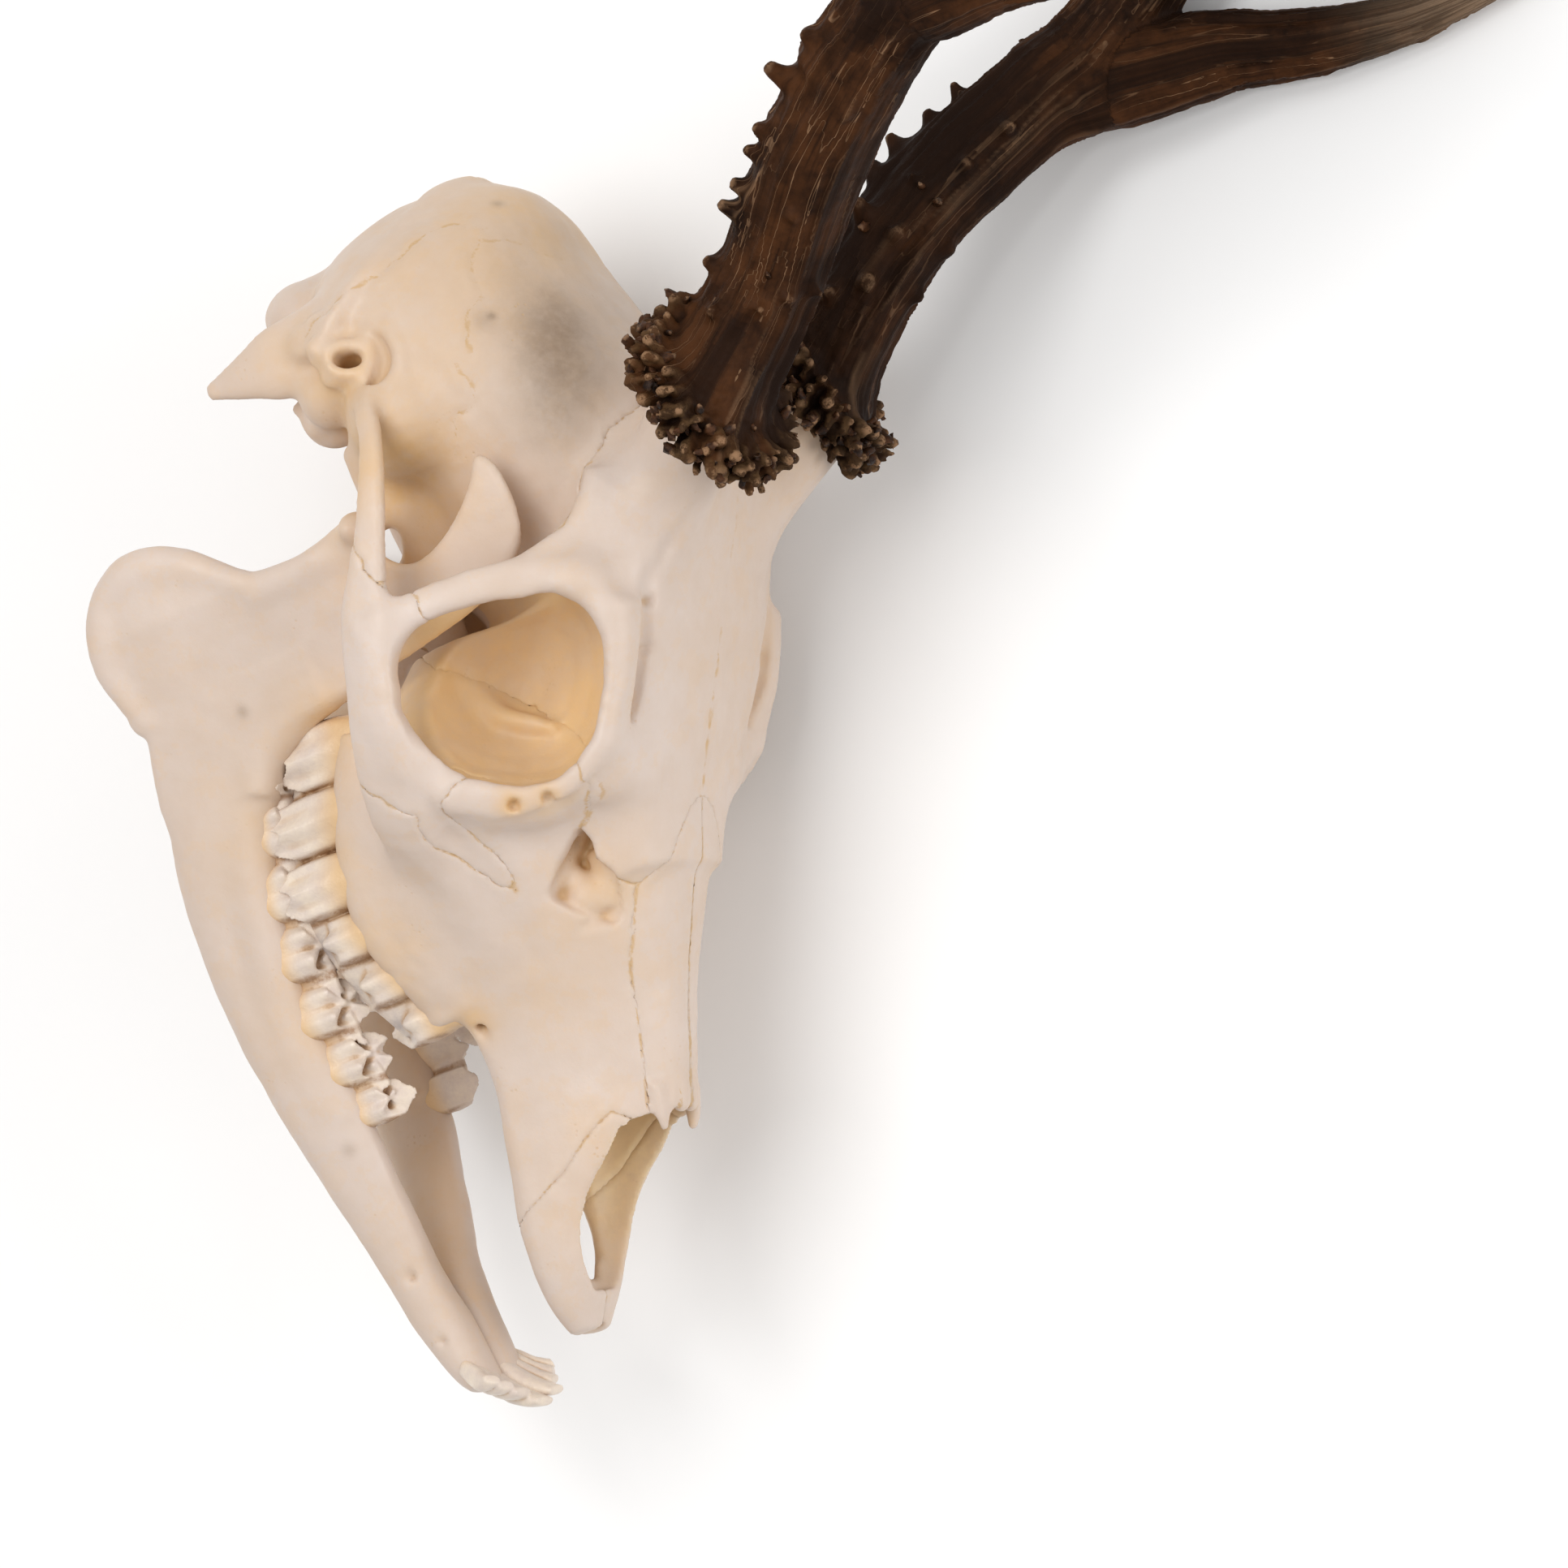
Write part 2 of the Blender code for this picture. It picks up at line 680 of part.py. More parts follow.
def beam_pearls():
    """The larger pearls in a row up the back and inner side of the beam."""
    rows = smooth_path([(*centre, radius) for centre, radius in BEAM], 4)
    shapes = []
    for i in range(BEAM_PEARLS):
        row = rows[5 + 2 * i]
        side = Vector((-0.25 + 0.5 * (i % 2), -0.8, -0.55)).normalized()
        spot = Vector(row[:3]) + side * (row[3] + 0.8)
        shapes.append(ball(spot, (1.6, 1.6, 2.6), turned_to(side), 8))
    return shapes


def antler_shapes(tine_shift):
    tine = [FRONT_TINE[0]] + [(Vector(centre) + tine_shift, radius) for centre, radius in FRONT_TINE[1:]]
    return [rod(BEAM), rod(tine), rod(REAR_TINE), *coronet(), *beam_pearls()]


def coronet_foot():
    """The plane where the antler sits on its pedicle."""
    return (CORONET_CENTRE - CORONET_AXIS * (CORONET_THICKNESS - 1.2), CORONET_AXIS)


def build_cranium(where):
    middle, paired = cranium_shapes()
    solid = place("cranium", join(middle), where)
    whole = bmesh.new()
    whole.from_mesh(solid.data)
    whole.from_mesh(join(paired, True))
    whole.to_mesh(solid.data)
    whole.free()
    remesh(solid, CRANIUM_VOXEL)
    soften(solid, 3)
    cut_middle, cut_paired = cranium_cutters()
    for name, shapes, twice in (("middle", cut_middle, False), ("paired", cut_paired, True)):
        tool = place("cutter_" + name, join(shapes, twice), CUTTERS)
        remesh(tool, CRANIUM_VOXEL)
        boolean(solid, tool, "DIFFERENCE")
    remesh(solid, CRANIUM_VOXEL)
    soften(solid, 2)
    reduce_to(solid, CRANIUM_TRIANGLES)
    return solid


def part_cranium(solid, where):
    """Cuts the cranium along its main seams into the bones a person would name."""
    right_foot = coronet_foot()
    left_foot = mirrored_plane(right_foot, LEFT_ANTLER_SHIFT)
    cheek_right = (Vector((CHEEK_SEAM_X, 0, 0)), Vector((1, 0, 0)))
    cheek_left = mirrored_plane(cheek_right)
    core = piece("core", solid, [(cheek_right, -1), (cheek_left, -1)], CUTTERS)
    midline = (Vector((0, 0, 0)), Vector((1, 0, 0)))
    face = [(CORONAL_SEAM, 1), (BROW_SEAM, -1), (PREMAXILLA_SEAM, -1)]
    in_front = [piece("upper_jaw", core, face, where)]
    for side, sign in SIDES:
        in_front.append(piece(f"premaxilla_{side}", core, [(PREMAXILLA_SEAM, 1), (midline, sign)], where))
    nose = nasal_block()
    for bone in in_front:
        boolean(bone, nose, "DIFFERENCE")
        drop_crumbs(bone)
    return in_front + [
        piece("nasal_bones", core, nasal_planes(), where),
        piece("braincase", core, [(CORONAL_SEAM, -1)], where),
        piece("forehead", core, [(CORONAL_SEAM, 1), (BROW_SEAM, 1), (right_foot, -1), (left_foot, -1)], where),
        piece("zygomatic_arch_right", solid, [(cheek_right, 1)], where),
        piece("zygomatic_arch_left", solid, [(cheek_left, 1)], where),
    ]


def build_jaws(where):
    solid = fuse("jaw", jaw_half(), JAW_VOXEL, JAW_TRIANGLES)
    midline = (Vector((0, 0, 0)), Vector((1, 0, 0)))
    right = piece("mandible_right", solid, [(midline, 1)], where)
    return [right, mirror_copy("mandible_left", right, where, LEFT_JAW_SHIFT)]


def mirror_copy(name, obj, where, shift=Vector((0, 0, 0))):
    shape = bmesh.new()
    shape.from_mesh(obj.data)
    bmesh.ops.scale(shape, vec=(-1, 1, 1), verts=shape.verts)
    bmesh.ops.translate(shape, vec=shift, verts=shape.verts)
    bmesh.ops.reverse_faces(shape, faces=shape.faces)
    return place(name, join([shape]), where)


def antler_pieces(solid, tine_shift):
    """The beam below the fork, the front tine, the beam above the fork and the rear tine."""
    fork = FORK + tine_shift / 2
    tine, upper, split = (fork, FRONT_TINE_SEAM), (fork, UPPER_BEAM_SEAM), (fork, FORK_SPLIT)
    cuts = {
        "beam": [(coronet_foot(), 1), (tine, -1), (upper, -1)],
        "front_tine": [(tine, 1), (split, 1)],
        "upper_beam": [(upper, 1), (split, -1), (REAR_TINE_SEAM, -1)],
        "rear_tine": [(REAR_TINE_SEAM, 1)],
    }
    return {name: piece("cut_" + name, solid, sides, CUTTERS) for name, sides in cuts.items()}


def build_antlers(where):
    made = []
    for side, sign in SIDES:
        shift = RIGHT_TINE_SHIFT if sign > 0 else Vector((0, 0, 0))
        solid = fuse("antler", antler_shapes(shift), ANTLER_VOXEL, ANTLER_TRIANGLES)
        for name, cut in antler_pieces(solid, shift).items():
            full_name = f"antler_{side}_{name}"
            if sign > 0:
                made.append(place(full_name, cut.data.copy(), where))
            else:
                made.append(mirror_copy(full_name, cut, where, LEFT_ANTLER_SHIFT))
    return made


def mass_centre(objects):
    """Centre of mass of closed meshes of even density."""
    total, moment = 0, Vector((0, 0, 0))
    for obj in objects:
        obj.data.calc_loop_triangles()
        for triangle in obj.data.loop_triangles:
            a, b, c = (obj.data.vertices[i].co for i in triangle.vertices)
            volume = a.dot(b.cross(c)) / 6
            total += volume
            moment += volume * (a + b + c) / 4
    return moment / total


def holds(corners, normal, point):
    """True if the point, moved along the normal, falls inside the triangle."""
    for i, corner in enumerate(corners):
        edge = corners[(i + 1) % 3] - corner
        if edge.cross(point - corner).dot(normal) < 0:
            return False
    return True


def resting_side(objects):
    """The way down when the bones lie on their left side, on three points that hold the centre of mass."""
    whole = bmesh.new()
    for obj in objects:
        whole.from_mesh(obj.data)
    bmesh.ops.convex_hull(whole, input=whole.verts)
    whole.verts.ensure_lookup_table()
    centre = mass_centre(objects)
    best = None
    for face in whole.faces:
        face.normal_update()
        corners = [vertex.co.copy() for vertex in face.verts]
        if len(corners) != 3 or any(not vertex.is_boundary and not vertex.link_faces for vertex in face.verts):
            continue
        normal = face.normal.copy()
        if any((vertex.co - corners[0]).dot(normal) > 0.01 for vertex in whole.verts):
            continue
        if holds(corners, normal, centre) and (best is None or normal.x < best.x):
            best = normal
    whole.free()
    return best


def lay_down(frame, objects):
    """Turns the skull frame so its resting side is down, with its nose towards -Y, and stands it on Z = 0."""
    up = -resting_side(objects)
    far_side = NOSE_AWAY - NOSE_AWAY.dot(up) * up
    far_side.normalize()
    right = far_side.cross(up)
    turn = Matrix((right, far_side, up))
    corners = [turn @ vertex.co for obj in objects for vertex in obj.data.vertices]
    low = Vector(min(corner[i] for corner in corners) for i in range(3))
    high = Vector(max(corner[i] for corner in corners) for i in range(3))
    frame.rotation_mode = "QUATERNION"
    frame.rotation_quaternion = turn.to_quaternion()
    frame.scale = (MM, MM, MM)
    frame.location = -Vector(((low.x + high.x) / 2, (low.y + high.y) / 2, low.z)) * MM


def main():
    bones = collection("roe_skull")
    bone = material("bone", **BONE)
    antler = material("antler", **ANTLER)
    pieces = part_cranium(build_cranium(CUTTERS), bones) + build_jaws(bones)
    for obj in pieces:
        obj.data.materials.clear()
        obj.data.materials.append(bone)
    for obj in build_antlers(bones):
        obj.data.materials.clear()
        obj.data.materials.append(antler)
        pieces.append(obj)
    frame = bpy.data.objects.new("skull_frame", None)
    bones.objects.link(frame)
    lay_down(frame, pieces)
    for obj in pieces:
        obj.parent = frame


for old in list(bpy.data.objects):
    bpy.data.objects.remove(old)
CUTTERS = collection("cutters", hidden=True)
main()
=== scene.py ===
"""A cleaned roe buck skull with its antlers and lower jaw, life size, lying on its left side.

The bones are modelled like clay: closed lofts are melted together or carved away as signed distances on a
fine grid, the grid is parted along the skull's own sutures, and each bone is then meshed. All that is in
the skull's own frame, in millimetres: X to the animal's right, Y towards the nose, Z towards the crown,
with the origin at the front tip of the upper jaw. The finished meshes are laid down as the model lies.
"""

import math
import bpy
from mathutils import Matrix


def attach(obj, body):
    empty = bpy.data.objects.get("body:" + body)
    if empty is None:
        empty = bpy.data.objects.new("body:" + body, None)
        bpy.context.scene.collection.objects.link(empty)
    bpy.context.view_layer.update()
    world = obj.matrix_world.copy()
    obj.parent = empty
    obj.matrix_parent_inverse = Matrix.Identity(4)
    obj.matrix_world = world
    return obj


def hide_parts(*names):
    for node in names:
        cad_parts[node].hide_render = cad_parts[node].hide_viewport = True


bl_info = {
    "name": "Roe Buck Skull",
    "version": (1, 0, 0),
    "blender": (4, 5, 0),
    "location": "View3D > Sidebar > Roe Skull",
    "description": "Builds the bones, teeth and antlers of a roe buck skull and its studio stage",
    "category": "Object",
}

import bpy
import numpy as np
import openvdb as vdb
from bpy.props import FloatProperty, FloatVectorProperty, IntProperty, PointerProperty
from mathutils import Matrix, Vector

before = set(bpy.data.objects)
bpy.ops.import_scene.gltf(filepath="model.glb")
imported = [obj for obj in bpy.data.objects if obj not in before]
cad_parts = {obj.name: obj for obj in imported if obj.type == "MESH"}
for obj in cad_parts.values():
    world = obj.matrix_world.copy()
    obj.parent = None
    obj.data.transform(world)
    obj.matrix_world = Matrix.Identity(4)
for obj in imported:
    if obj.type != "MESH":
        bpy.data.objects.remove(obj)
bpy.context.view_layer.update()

MM = 0.001
# Distances in mm: what an empty block of clay holds, the widest that smoothing keeps, and no seam near
FAR = 8.0
SMOOTHED_REACH = 4.0
NO_SEAM = 20.0
SIDES = (("right", 1), ("left", -1))
FLOOR_CLEARANCE = 0.00005

# How the skull lies: what is up, what points away from the nose, and where its origin is, in mm
SKULL_UP = (0.99854, 0.016828, 0.051323)
AWAY_FROM_NOSE = (-0.00181, -0.939265, 0.343187)
SKULL_PLACE = (-38.2365, -143.7886, 48.0609)

# The camera, in the skull's frame and mm
CAMERA_PLACE = (1246.7, 147.6, 627.9)
CAMERA_RIGHT = (-0.436, 0.304, 0.847)
CAMERA_UP = (0.014, -0.939, 0.344)
CAMERA_LENS = 182.46

# The stage, in the model's frame and metres; a light is (name, way to it, distance, size), and the setting
# of the same name is its power
FLOOR_HALF_SIZE = 4.0
LIT_POINT = (0, 0, 0.05)
LIGHTS = (("key_light", (-0.16, 0.2, 0.96), 1.3, 0.95), ("rim_light", (0.9, 0.05, 0.4), 1.5, 0.8))
SKY_COLOUR = (1, 0.99, 0.98, 1)

# ---------------------------------------------------------------- the cranium's measures, right half
# Braincase and face, as sections across the skull:
# (place along Y, half width, top, bottom, level of the widest point)
BRAINCASE = [
    (-198.5, 5, 45, 27, 35), (-196, 11, 50, 20, 34), (-192, 17.5, 55.5, 15, 31),
    (-185.5, 25.5, 59.4, 12, 29), (-177, 29.2, 61.6, 10, 30), (-164, 30, 66.8, 11, 38),
    (-152, 28, 72.4, 13, 43), (-140, 24, 75.6, 16, 46), (-128, 19, 71.4, 20, 50), (-116, 16, 60, 26, 46),
]
FOREHEAD = [
    (-154, 12, 70.6, 56, 62), (-144, 17.5, 75.2, 54, 64), (-134, 22.5, 77.5, 52, 61),
    (-125, 28.5, 74.4, 47, 56), (-113, 31.2, 68, 45, 53), (-101, 29.5, 61.6, 42, 50),
    (-90, 24, 56, 38, 43.5), (-80, 20, 51, 34, 40), (-70, 17, 47, 30, 36),
]
MUZZLE = [
    (-119, 20, 56, 8, 24), (-108, 27, 56, 1, 14), (-98, 30.5, 54, -4.5, 10), (-88, 30, 51, -8.6, 6),
    (-78, 27.5, 48.2, -9.4, 3), (-68, 23.8, 45.2, -6.6, 2), (-60, 20, 41.8, -3.6, 3),
    (-52, 16.2, 38.4, -0.8, 4), (-43, 14, 35.2, -1.2, 4), (-35, 13.2, 32.6, -2.8, 2.5),
    (-28, 12.8, 29.6, -4.2, 2), (-20, 12.7, 17.5, -5.6, 0.5), (-11, 11.4, 9, -6, -0.5),
    (-4, 8.8, 4, -5.4, -1), (1.2, 4.8, 1.2, -4, -1.4),
]
NASAL_PASSAGE = [
    (-96, 7, 36, 12, 24), (-72, 11, 37.5, 9, 22), (-60, 11.5, 34.5, 7, 17), (-45, 11.3, 31.2, 5, 13),
    (-32, 10.8, 28.3, 3, 11), (-27, 10.2, 33, 2, 10), (-18, 9.8, 30, 0.6, 8), (-10, 8, 24, 0.4, 8),
    (-5, 4.5, 20, 0.8, 8),
]
PALATE_VAULT = [
    (-104, 8, 3, -30, -12), (-96, 16, -1, -30, -14), (-80, 15.6, -4, -30, -16), (-67, 12, -3, -26, -12),
    (-57, 8.5, -1.5, -20, -8), (-44, 7, -1.2, -14, -8), (-30, 8, -1.2, -14, -8), (-16, 8, -1.4, -14, -8),
    (-9, 5, -2.6, -14, -8),
]
# The hollow at the back of the head and the opening behind the palate
SPINE_OPENING = ((0, -200, 20), (8.5, 14, 8))
THROAT_OPENING = [(0, -98, 3, 5.5, 5), (0, -112, 7, 5.5, 7), (0, -128, 9, 5.5, 5)]

# Orbit: the rim's centre, the way the eye looked out, and the opening's radius round the clock
ORBIT_CENTRE = np.array((36.5, -101.5, 37))
ORBIT_LOOK = np.array((0.93, 0.18, 0.32)) / np.linalg.norm((0.93, 0.18, 0.32))
ORBIT_RADII = (18.0, 17.8, 19.4, 21.6, 21.2, 18.9, 17.2, 16.6, 16.4, 15.8)
ORBIT_RADII += (14.8, 14.0, 13.7, 13.8, 14.2, 15.5, 17.1, 18.4, 20.0, 18.7)
ORBIT_DEPTH = 26
# The socket's wall, as (distance out along the way the eye looked, share of the opening)
ORBIT_WALL = [
    (12, 1.25), (2, 1.03), (0, 0.99), (-2, 1.04), (-7, 1.06), (-13, 0.98), (-18, 0.82), (-22, 0.6),
    (-25, 0.3), (-26, 0.1),
]
ORBIT_LEAN = (0, -0.08, 0)
# The lip round the socket: its half width and half height, the way in which it is narrowest, and how far
# the opening's outline wanders
RIM_WIDTH = 3.1
RIM_HEIGHT = 0.9
RIM_NARROWEST = (0, 0.6, 0.8)
RIM_WOBBLE = 0.6
# The ridge across the socket's inner wall: (x, y, z, radius)
SOCKET_RIDGE = [
    (16, -112, 21.6, 1.2), (15.2, -107, 23.6, 1.7), (15.2, -103.6, 26.3, 1.8), (14.6, -101, 30.5, 1.6),
    (14.4, -98.5, 35, 1),
]

# Bars of bone: (x, y, z, half thickness, half height)
CHEEK_BAR = [
    (24, -82, 9, 3, 4), (35, -90, 12, 3.6, 6), (42.2, -101, 15.5, 2.8, 5.8), (44.7, -112, 18.8, 2.3, 5.2),
    (45, -124, 21.5, 2.0, 4.4), (43.8, -136, 26, 1.6, 3.0), (42.2, -146, 29, 1.5, 2.4),
    (39, -154, 29.6, 1.5, 2.0), (35, -159.5, 28.6, 1.7, 2.0), (29, -163, 27, 2.4, 3),
]
EYE_BAR = [
    (14, -138, 62, 2.5, 5), (22, -131, 65, 3.4, 8), (28, -124.8, 57.5, 3.0, 4.6),
    (33.5, -121, 48.5, 2.6, 4.2), (38, -119.6, 40, 2.3, 4.6), (42, -118.8, 30, 2.0, 4.8),
    (44, -117.5, 20, 2.0, 5.5),
]
NUCHAL_CREST = [
    (30.5, -173, 20, 1.8, 3), (27.5, -181, 28, 1.7, 2.6), (20.5, -187.5, 34, 1.7, 2.4),
    (13, -192.6, 38, 1.7, 2.4), (6, -197, 41, 1.9, 3.2), (0, -197.4, 43.5, 2.2, 3.8),
]
JUGULAR_PROCESS = [
    (23, -176, 20, 3.5, 8.5), (25.5, -176, 10, 2.6, 6.8), (26, -176, 2.5, 1.9, 4),
    (25.8, -176, -4.8, 1.1, 1.4),
]
PTERYGOID = [
    (12, -98, 8, 2.6, 10), (9.5, -110, 10, 1.8, 9), (8.5, -122, 14, 1.6, 7.5), (9, -134, 17, 2.0, 4),
]
SKULL_BASE = [
    (0, -120, 20, 5, 4), (0, -140, 14.5, 5.5, 4), (0, -160, 12.5, 7.5, 4), (0, -176, 11.5, 10, 4),
    (0, -187, 12, 9, 5),
]
SOCKET_FRONT_WALL = [(14, -86, 47, 5, 5), (22, -88, 45, 5, 6), (30.5, -91, 42, 2, 7)]
BRAIN_SIDE_WALL = [
    (13, -126, 23, 5, 6), (14.5, -136, 21.5, 6.5, 6.5), (15.5, -146, 21, 7.5, 7), (15, -158, 20, 8, 7),
]
# The hollow over the arch that the lower jaw's knob turns in
JAW_JOINT_HOLLOW = [(8, -141.2, 12, 2.1, 3.8), (22, -138.2, 18.7, 1.9, 3.4), (30, -136.6, 22.3, 2.1, 3.8)]
JAW_JOINT_THIN = (-0.62, 0.15, 0.77)
EYE_BAR_THIN = (0.86, 0.2, 0.45)

# Rods of bone: (x, y, z, radius)
PEDICLE = [
    (12.5, -123, 52, 7), (15, -128, 64, 10), (17.2, -133, 74, 8.8), (19.8, -139, 82, 9.2),
    (20.6, -140.6, 85, 9.6),
]
BROW_EDGE = [(28.2, -112, 59.4, 3), (27, -104, 55.4, 3.4), (26.6, -97, 51, 3.4), (26.8, -91.5, 46, 2.8)]
SOCKET_FRONT_EDGE = [
    (36, -90.5, 22, 2.4), (33.6, -88.6, 28, 2.8), (30.4, -88.8, 34.4, 2.8), (27.6, -90, 41, 2.4),
]
# The slopes from the cheek's side and the rim down to the face
CHEEK_SLOPE = [(34, -93, 12, 4.5), (28.4, -85.5, 13, 4.5), (22, -76, 14, 3.5), (17, -66, 14, 2)]
LACRIMAL_SLOPE = [(34, -92, 21, 3.6), (28, -85, 22, 3.4), (21, -76, 22.6, 2.6), (16, -67, 22, 1.5)]
RIM_SLOPE = [
    (30.4, -87, 27.5, 2.8), (27.6, -85, 32, 2.8), (24.6, -85, 37.6, 2.6), (23.8, -87, 43.6, 2.6),
    (24.6, -91.5, 49, 2.2),
]

# Swellings: (centre, radii, way of the third radius)
BROW_CORNER = ((30, -118, 55), (4, 6, 5), (0.75, 0.1, 0.6))
BRAIN_LOWER_SWELLING = ((20, -158, 30), (14, 12, 12))
CONDYLE = ((11, -185.6, 10.8), (6.2, 7.3, 7.6), (0.5, 0.2, 0.9))
CONDYLE_EDGE = ((8, -189.6, 14.5), (3, 3.4, 5.6), (0.3, 0, 0.95))
EAR_CAPSULE = ((17, -166, 13), (5, 6.5, 6))
EAR_CAPSULE_SIDE = ((23, -167.5, 16.5), (5.5, 6, 5.5))
CAPSULE_SPIKES = (
    [(20.5, -164.5, 13, 2.6), (20, -163.6, 10.5, 1.6), (19.8, -163.2, 9.3, 0.8)],
    [(18, -168, 11, 2.2), (19, -168.5, 8, 1.4), (19.4, -168.5, 6.8, 0.6)],
)

# The ear: its tube and opening, the knobs about it as (fillet, centre, radii), and the ridge over it
EAR_THIN = (0, -0.93, 0.35)
EAR_TUBE = [(20, -166.5, 20, 5.5, 6), (27, -169, 24, 4.4, 5.2), (32, -170.2, 26.7, 3.6, 4.1)]
EAR_OPENING = [(24, -168.6, 22.8, 1.2, 1.8), (30, -169.8, 25.6, 1.7, 2.5), (38, -171, 29.6, 2.4, 3.5)]
EAR_KNOBS = (
    (1.8, (27, -176.5, 21), (3.2, 4, 7)), (1.2, (30.6, -172.6, 21.6), (1.6, 2.2, 3)),
    (1.0, (31, -168.2, 22.4), (1.4, 1.8, 2.2)),
)
EAR_RIDGE = [
    (26, -176.5, 31, 1.4), (28.4, -173, 34.4, 1.5), (29.6, -168, 35.6, 1.6), (30.2, -163.5, 34.2, 1.5),
    (31, -160.5, 30.5, 1.5),
]
EAR_RIDGE_GROOVE = [
    (29.5, -173, 31.2, 0.7), (30.2, -170.8, 32.2, 1.4), (30.6, -167.6, 32.2, 1.8),
    (31, -164.8, 30.6, 1.6), (31.3, -162.8, 28.4, 0.9),
]

# Swellings over the roots of the cheek teeth, two at each place (y, x, z)
ROOT_PLACES = ((-76, 24.6, -5), (-67.5, 21.6, -3.2), (-59.5, 18.2, -1.2), (-85, 26.6, -4.5))
ROOT_RADII = (2.2, 1.7, 5.2)

# Small openings of the face, as rods, and the two foramina in the brow's groove as (centre, half length)
TEAR_CANALS = (
    [(40.4, -83.9, 35.1, 1.35), (36.4, -84.5, 33.3, 1.2), (33.8, -84.7, 31.9, 0.8)],
    [(37.8, -83.4, 40.4, 1.35), (33.8, -84.0, 38.6, 1.2), (31.2, -84.2, 37.2, 0.8)],
)
# The groove over the brow with its foramina: (x, y, z, radius)
BROW_GROOVE = [
    (19.8, -124, 77.4, 0.8), (20.5, -120, 71.7, 1.5), (22.9, -116, 68.2, 1.8), (24.3, -113.4, 66.1, 2.0),
    (24.1, -110.6, 64.1, 1.5), (23.7, -104.6, 60.9, 1.9), (23.9, -100.4, 57.9, 1.6),
    (22.9, -95.6, 54.3, 1.2), (22.6, -92.8, 52.7, 0.6),
]
BROW_FORAMINA = (((23.4, -111.4, 63.4), 1.6), ((23.3, -104, 59.8), 2.6))
FACE_FORAMEN = [(18, -49.5, 3.6, 1.5), (15.4, -54, 3.9, 1.0), (13.6, -56.5, 4.2, 0.6)]
PALATE_FISSURE = [(5, -36, 0, 1.2, 6), (5.8, -24, -1, 2.2, 6), (5, -11, -1, 1.1, 6)]

# The gap in the cheek where the lacrimal, nasal and frontal bones do not meet, as (Y, Z); the curled
# bone seen in it, the clefts in its corners, and the sliver across it
VACUITY = [
    (-79.6, 36.4), (-76.5, 37.2), (-73.5, 36.3), (-70.5, 38.2), (-67.4, 37.2), (-63.2, 35.8),
    (-62.2, 33.8), (-64.5, 31.4), (-67, 29), (-70, 26.8), (-71.6, 28.4), (-74.5, 30.6), (-77.4, 33.6),
]
GAP_DEPTHS = (13.5, 40)
GAP_BONE = (
    (1.0, (13.6, -68.8, 31), (4.2, 4.6, 4), (0.8, 0.2, 0.5)), (1.2, (15.6, -72.4, 30), (1.9, 2.4, 2)),
)
GAP_CLEFTS = (
    [(17.5, -78.4, 34.4, 1.3), (18, -75.7, 31.6, 1.0), (19.6, -72.9, 29.3, 0.8), (20.6, -71.2, 27.8, 0.5)],
    [(15, -64.2, 34.4, 0.9), (16.4, -63.4, 32.4, 1.1), (17.6, -63.2, 30, 0.9), (18.2, -61, 28.6, 0.4)],
)
GAP_SLIVER = [(14, -76, 35, 1, 2.4), (15, -71, 35.6, 0.9, 2.2), (14, -66, 33.4, 1, 2)]

# The nose: the two points at the end of each nasal bone, the wall between the nostrils, and the curled
# bones inside as (fillet, rows)
NASAL_POINTS = (
    [(6.6, -35, 29, 2.2, 1.1), (5.9, -29.5, 27.8, 1.8, 1), (5.4, -26.4, 26.8, 0.9, 0.7)],
    [(2, -35, 30.8, 1.9, 1.1), (1.8, -31, 29.8, 1.6, 1), (1.6, -29.2, 29.1, 0.8, 0.7)],
)
NOSE_WALL = [(0, -90, 22, 0.8, 12), (0, -60, 15, 0.7, 10), (0, -40, 7, 0.6, 4.5), (0, -30, 3, 0.6, 2)]
CURLED_BONES = (
    (0.8, [(7, -88, 24, 2.6, 9), (7, -62, 21, 2.4, 8), (6.4, -40, 17.5, 1.6, 5), (6.2, -33, 17, 0.8, 2.6)]),
    (0.6, [(6, -70, 33, 1.4, 3), (6, -45, 26, 1.2, 2.6), (5.6, -33, 24.4, 0.7, 1.4)]),
)
# The slit between the left halves of the palate that the photo looks through, and the notch at the tip
PALATE_SLIT = [
    (-6, -22.4, 0.4, 0.5, 9), (-6, -19.5, 0.2, 1.3, 9), (-6, -15.5, -0.4, 1.7, 9),
    (-6, -11.5, -0.9, 1.3, 9), (-6, -7.4, -1.3, 0.5, 8),
]
TIP_NOTCH = [(-0.8, -5, 2.6, 0.4), (-0.3, 0, 0, 1.0), (0, 3, -3, 1.7)]

# Sutures seen from the side, as (Y, Z) points: the bone named first lies to the left of the path's way
CORONAL = [
    (-153, 95), (-149, 77), (-145, 70), (-143, 67.1), (-141.2, 63.9), (-138.8, 61.9), (-137, 58.8),
    (-134.5, 57.5), (-130.3, 57.6), (-128, 56), (-127, 50), (-127.5, 42), (-128, 20), (-122, 0),
    (-118, -40),
]
BROW = [
    (-55, 80), (-66, 43.5), (-68, 39), (-73.5, 36.8), (-78.9, 36.5), (-81.5, 41), (-84.5, 44.6),
    (-88, 45), (-92, 42), (-110, 25), (-128, 6), (-150, -20),
]
PREMAXILLA = [
    (-14, 60), (-27.4, 26), (-30, 23.4), (-32.4, 20.6), (-30, 15.6), (-25.6, 9.5), (-21.3, 0.9),
    (-16, -12),
]
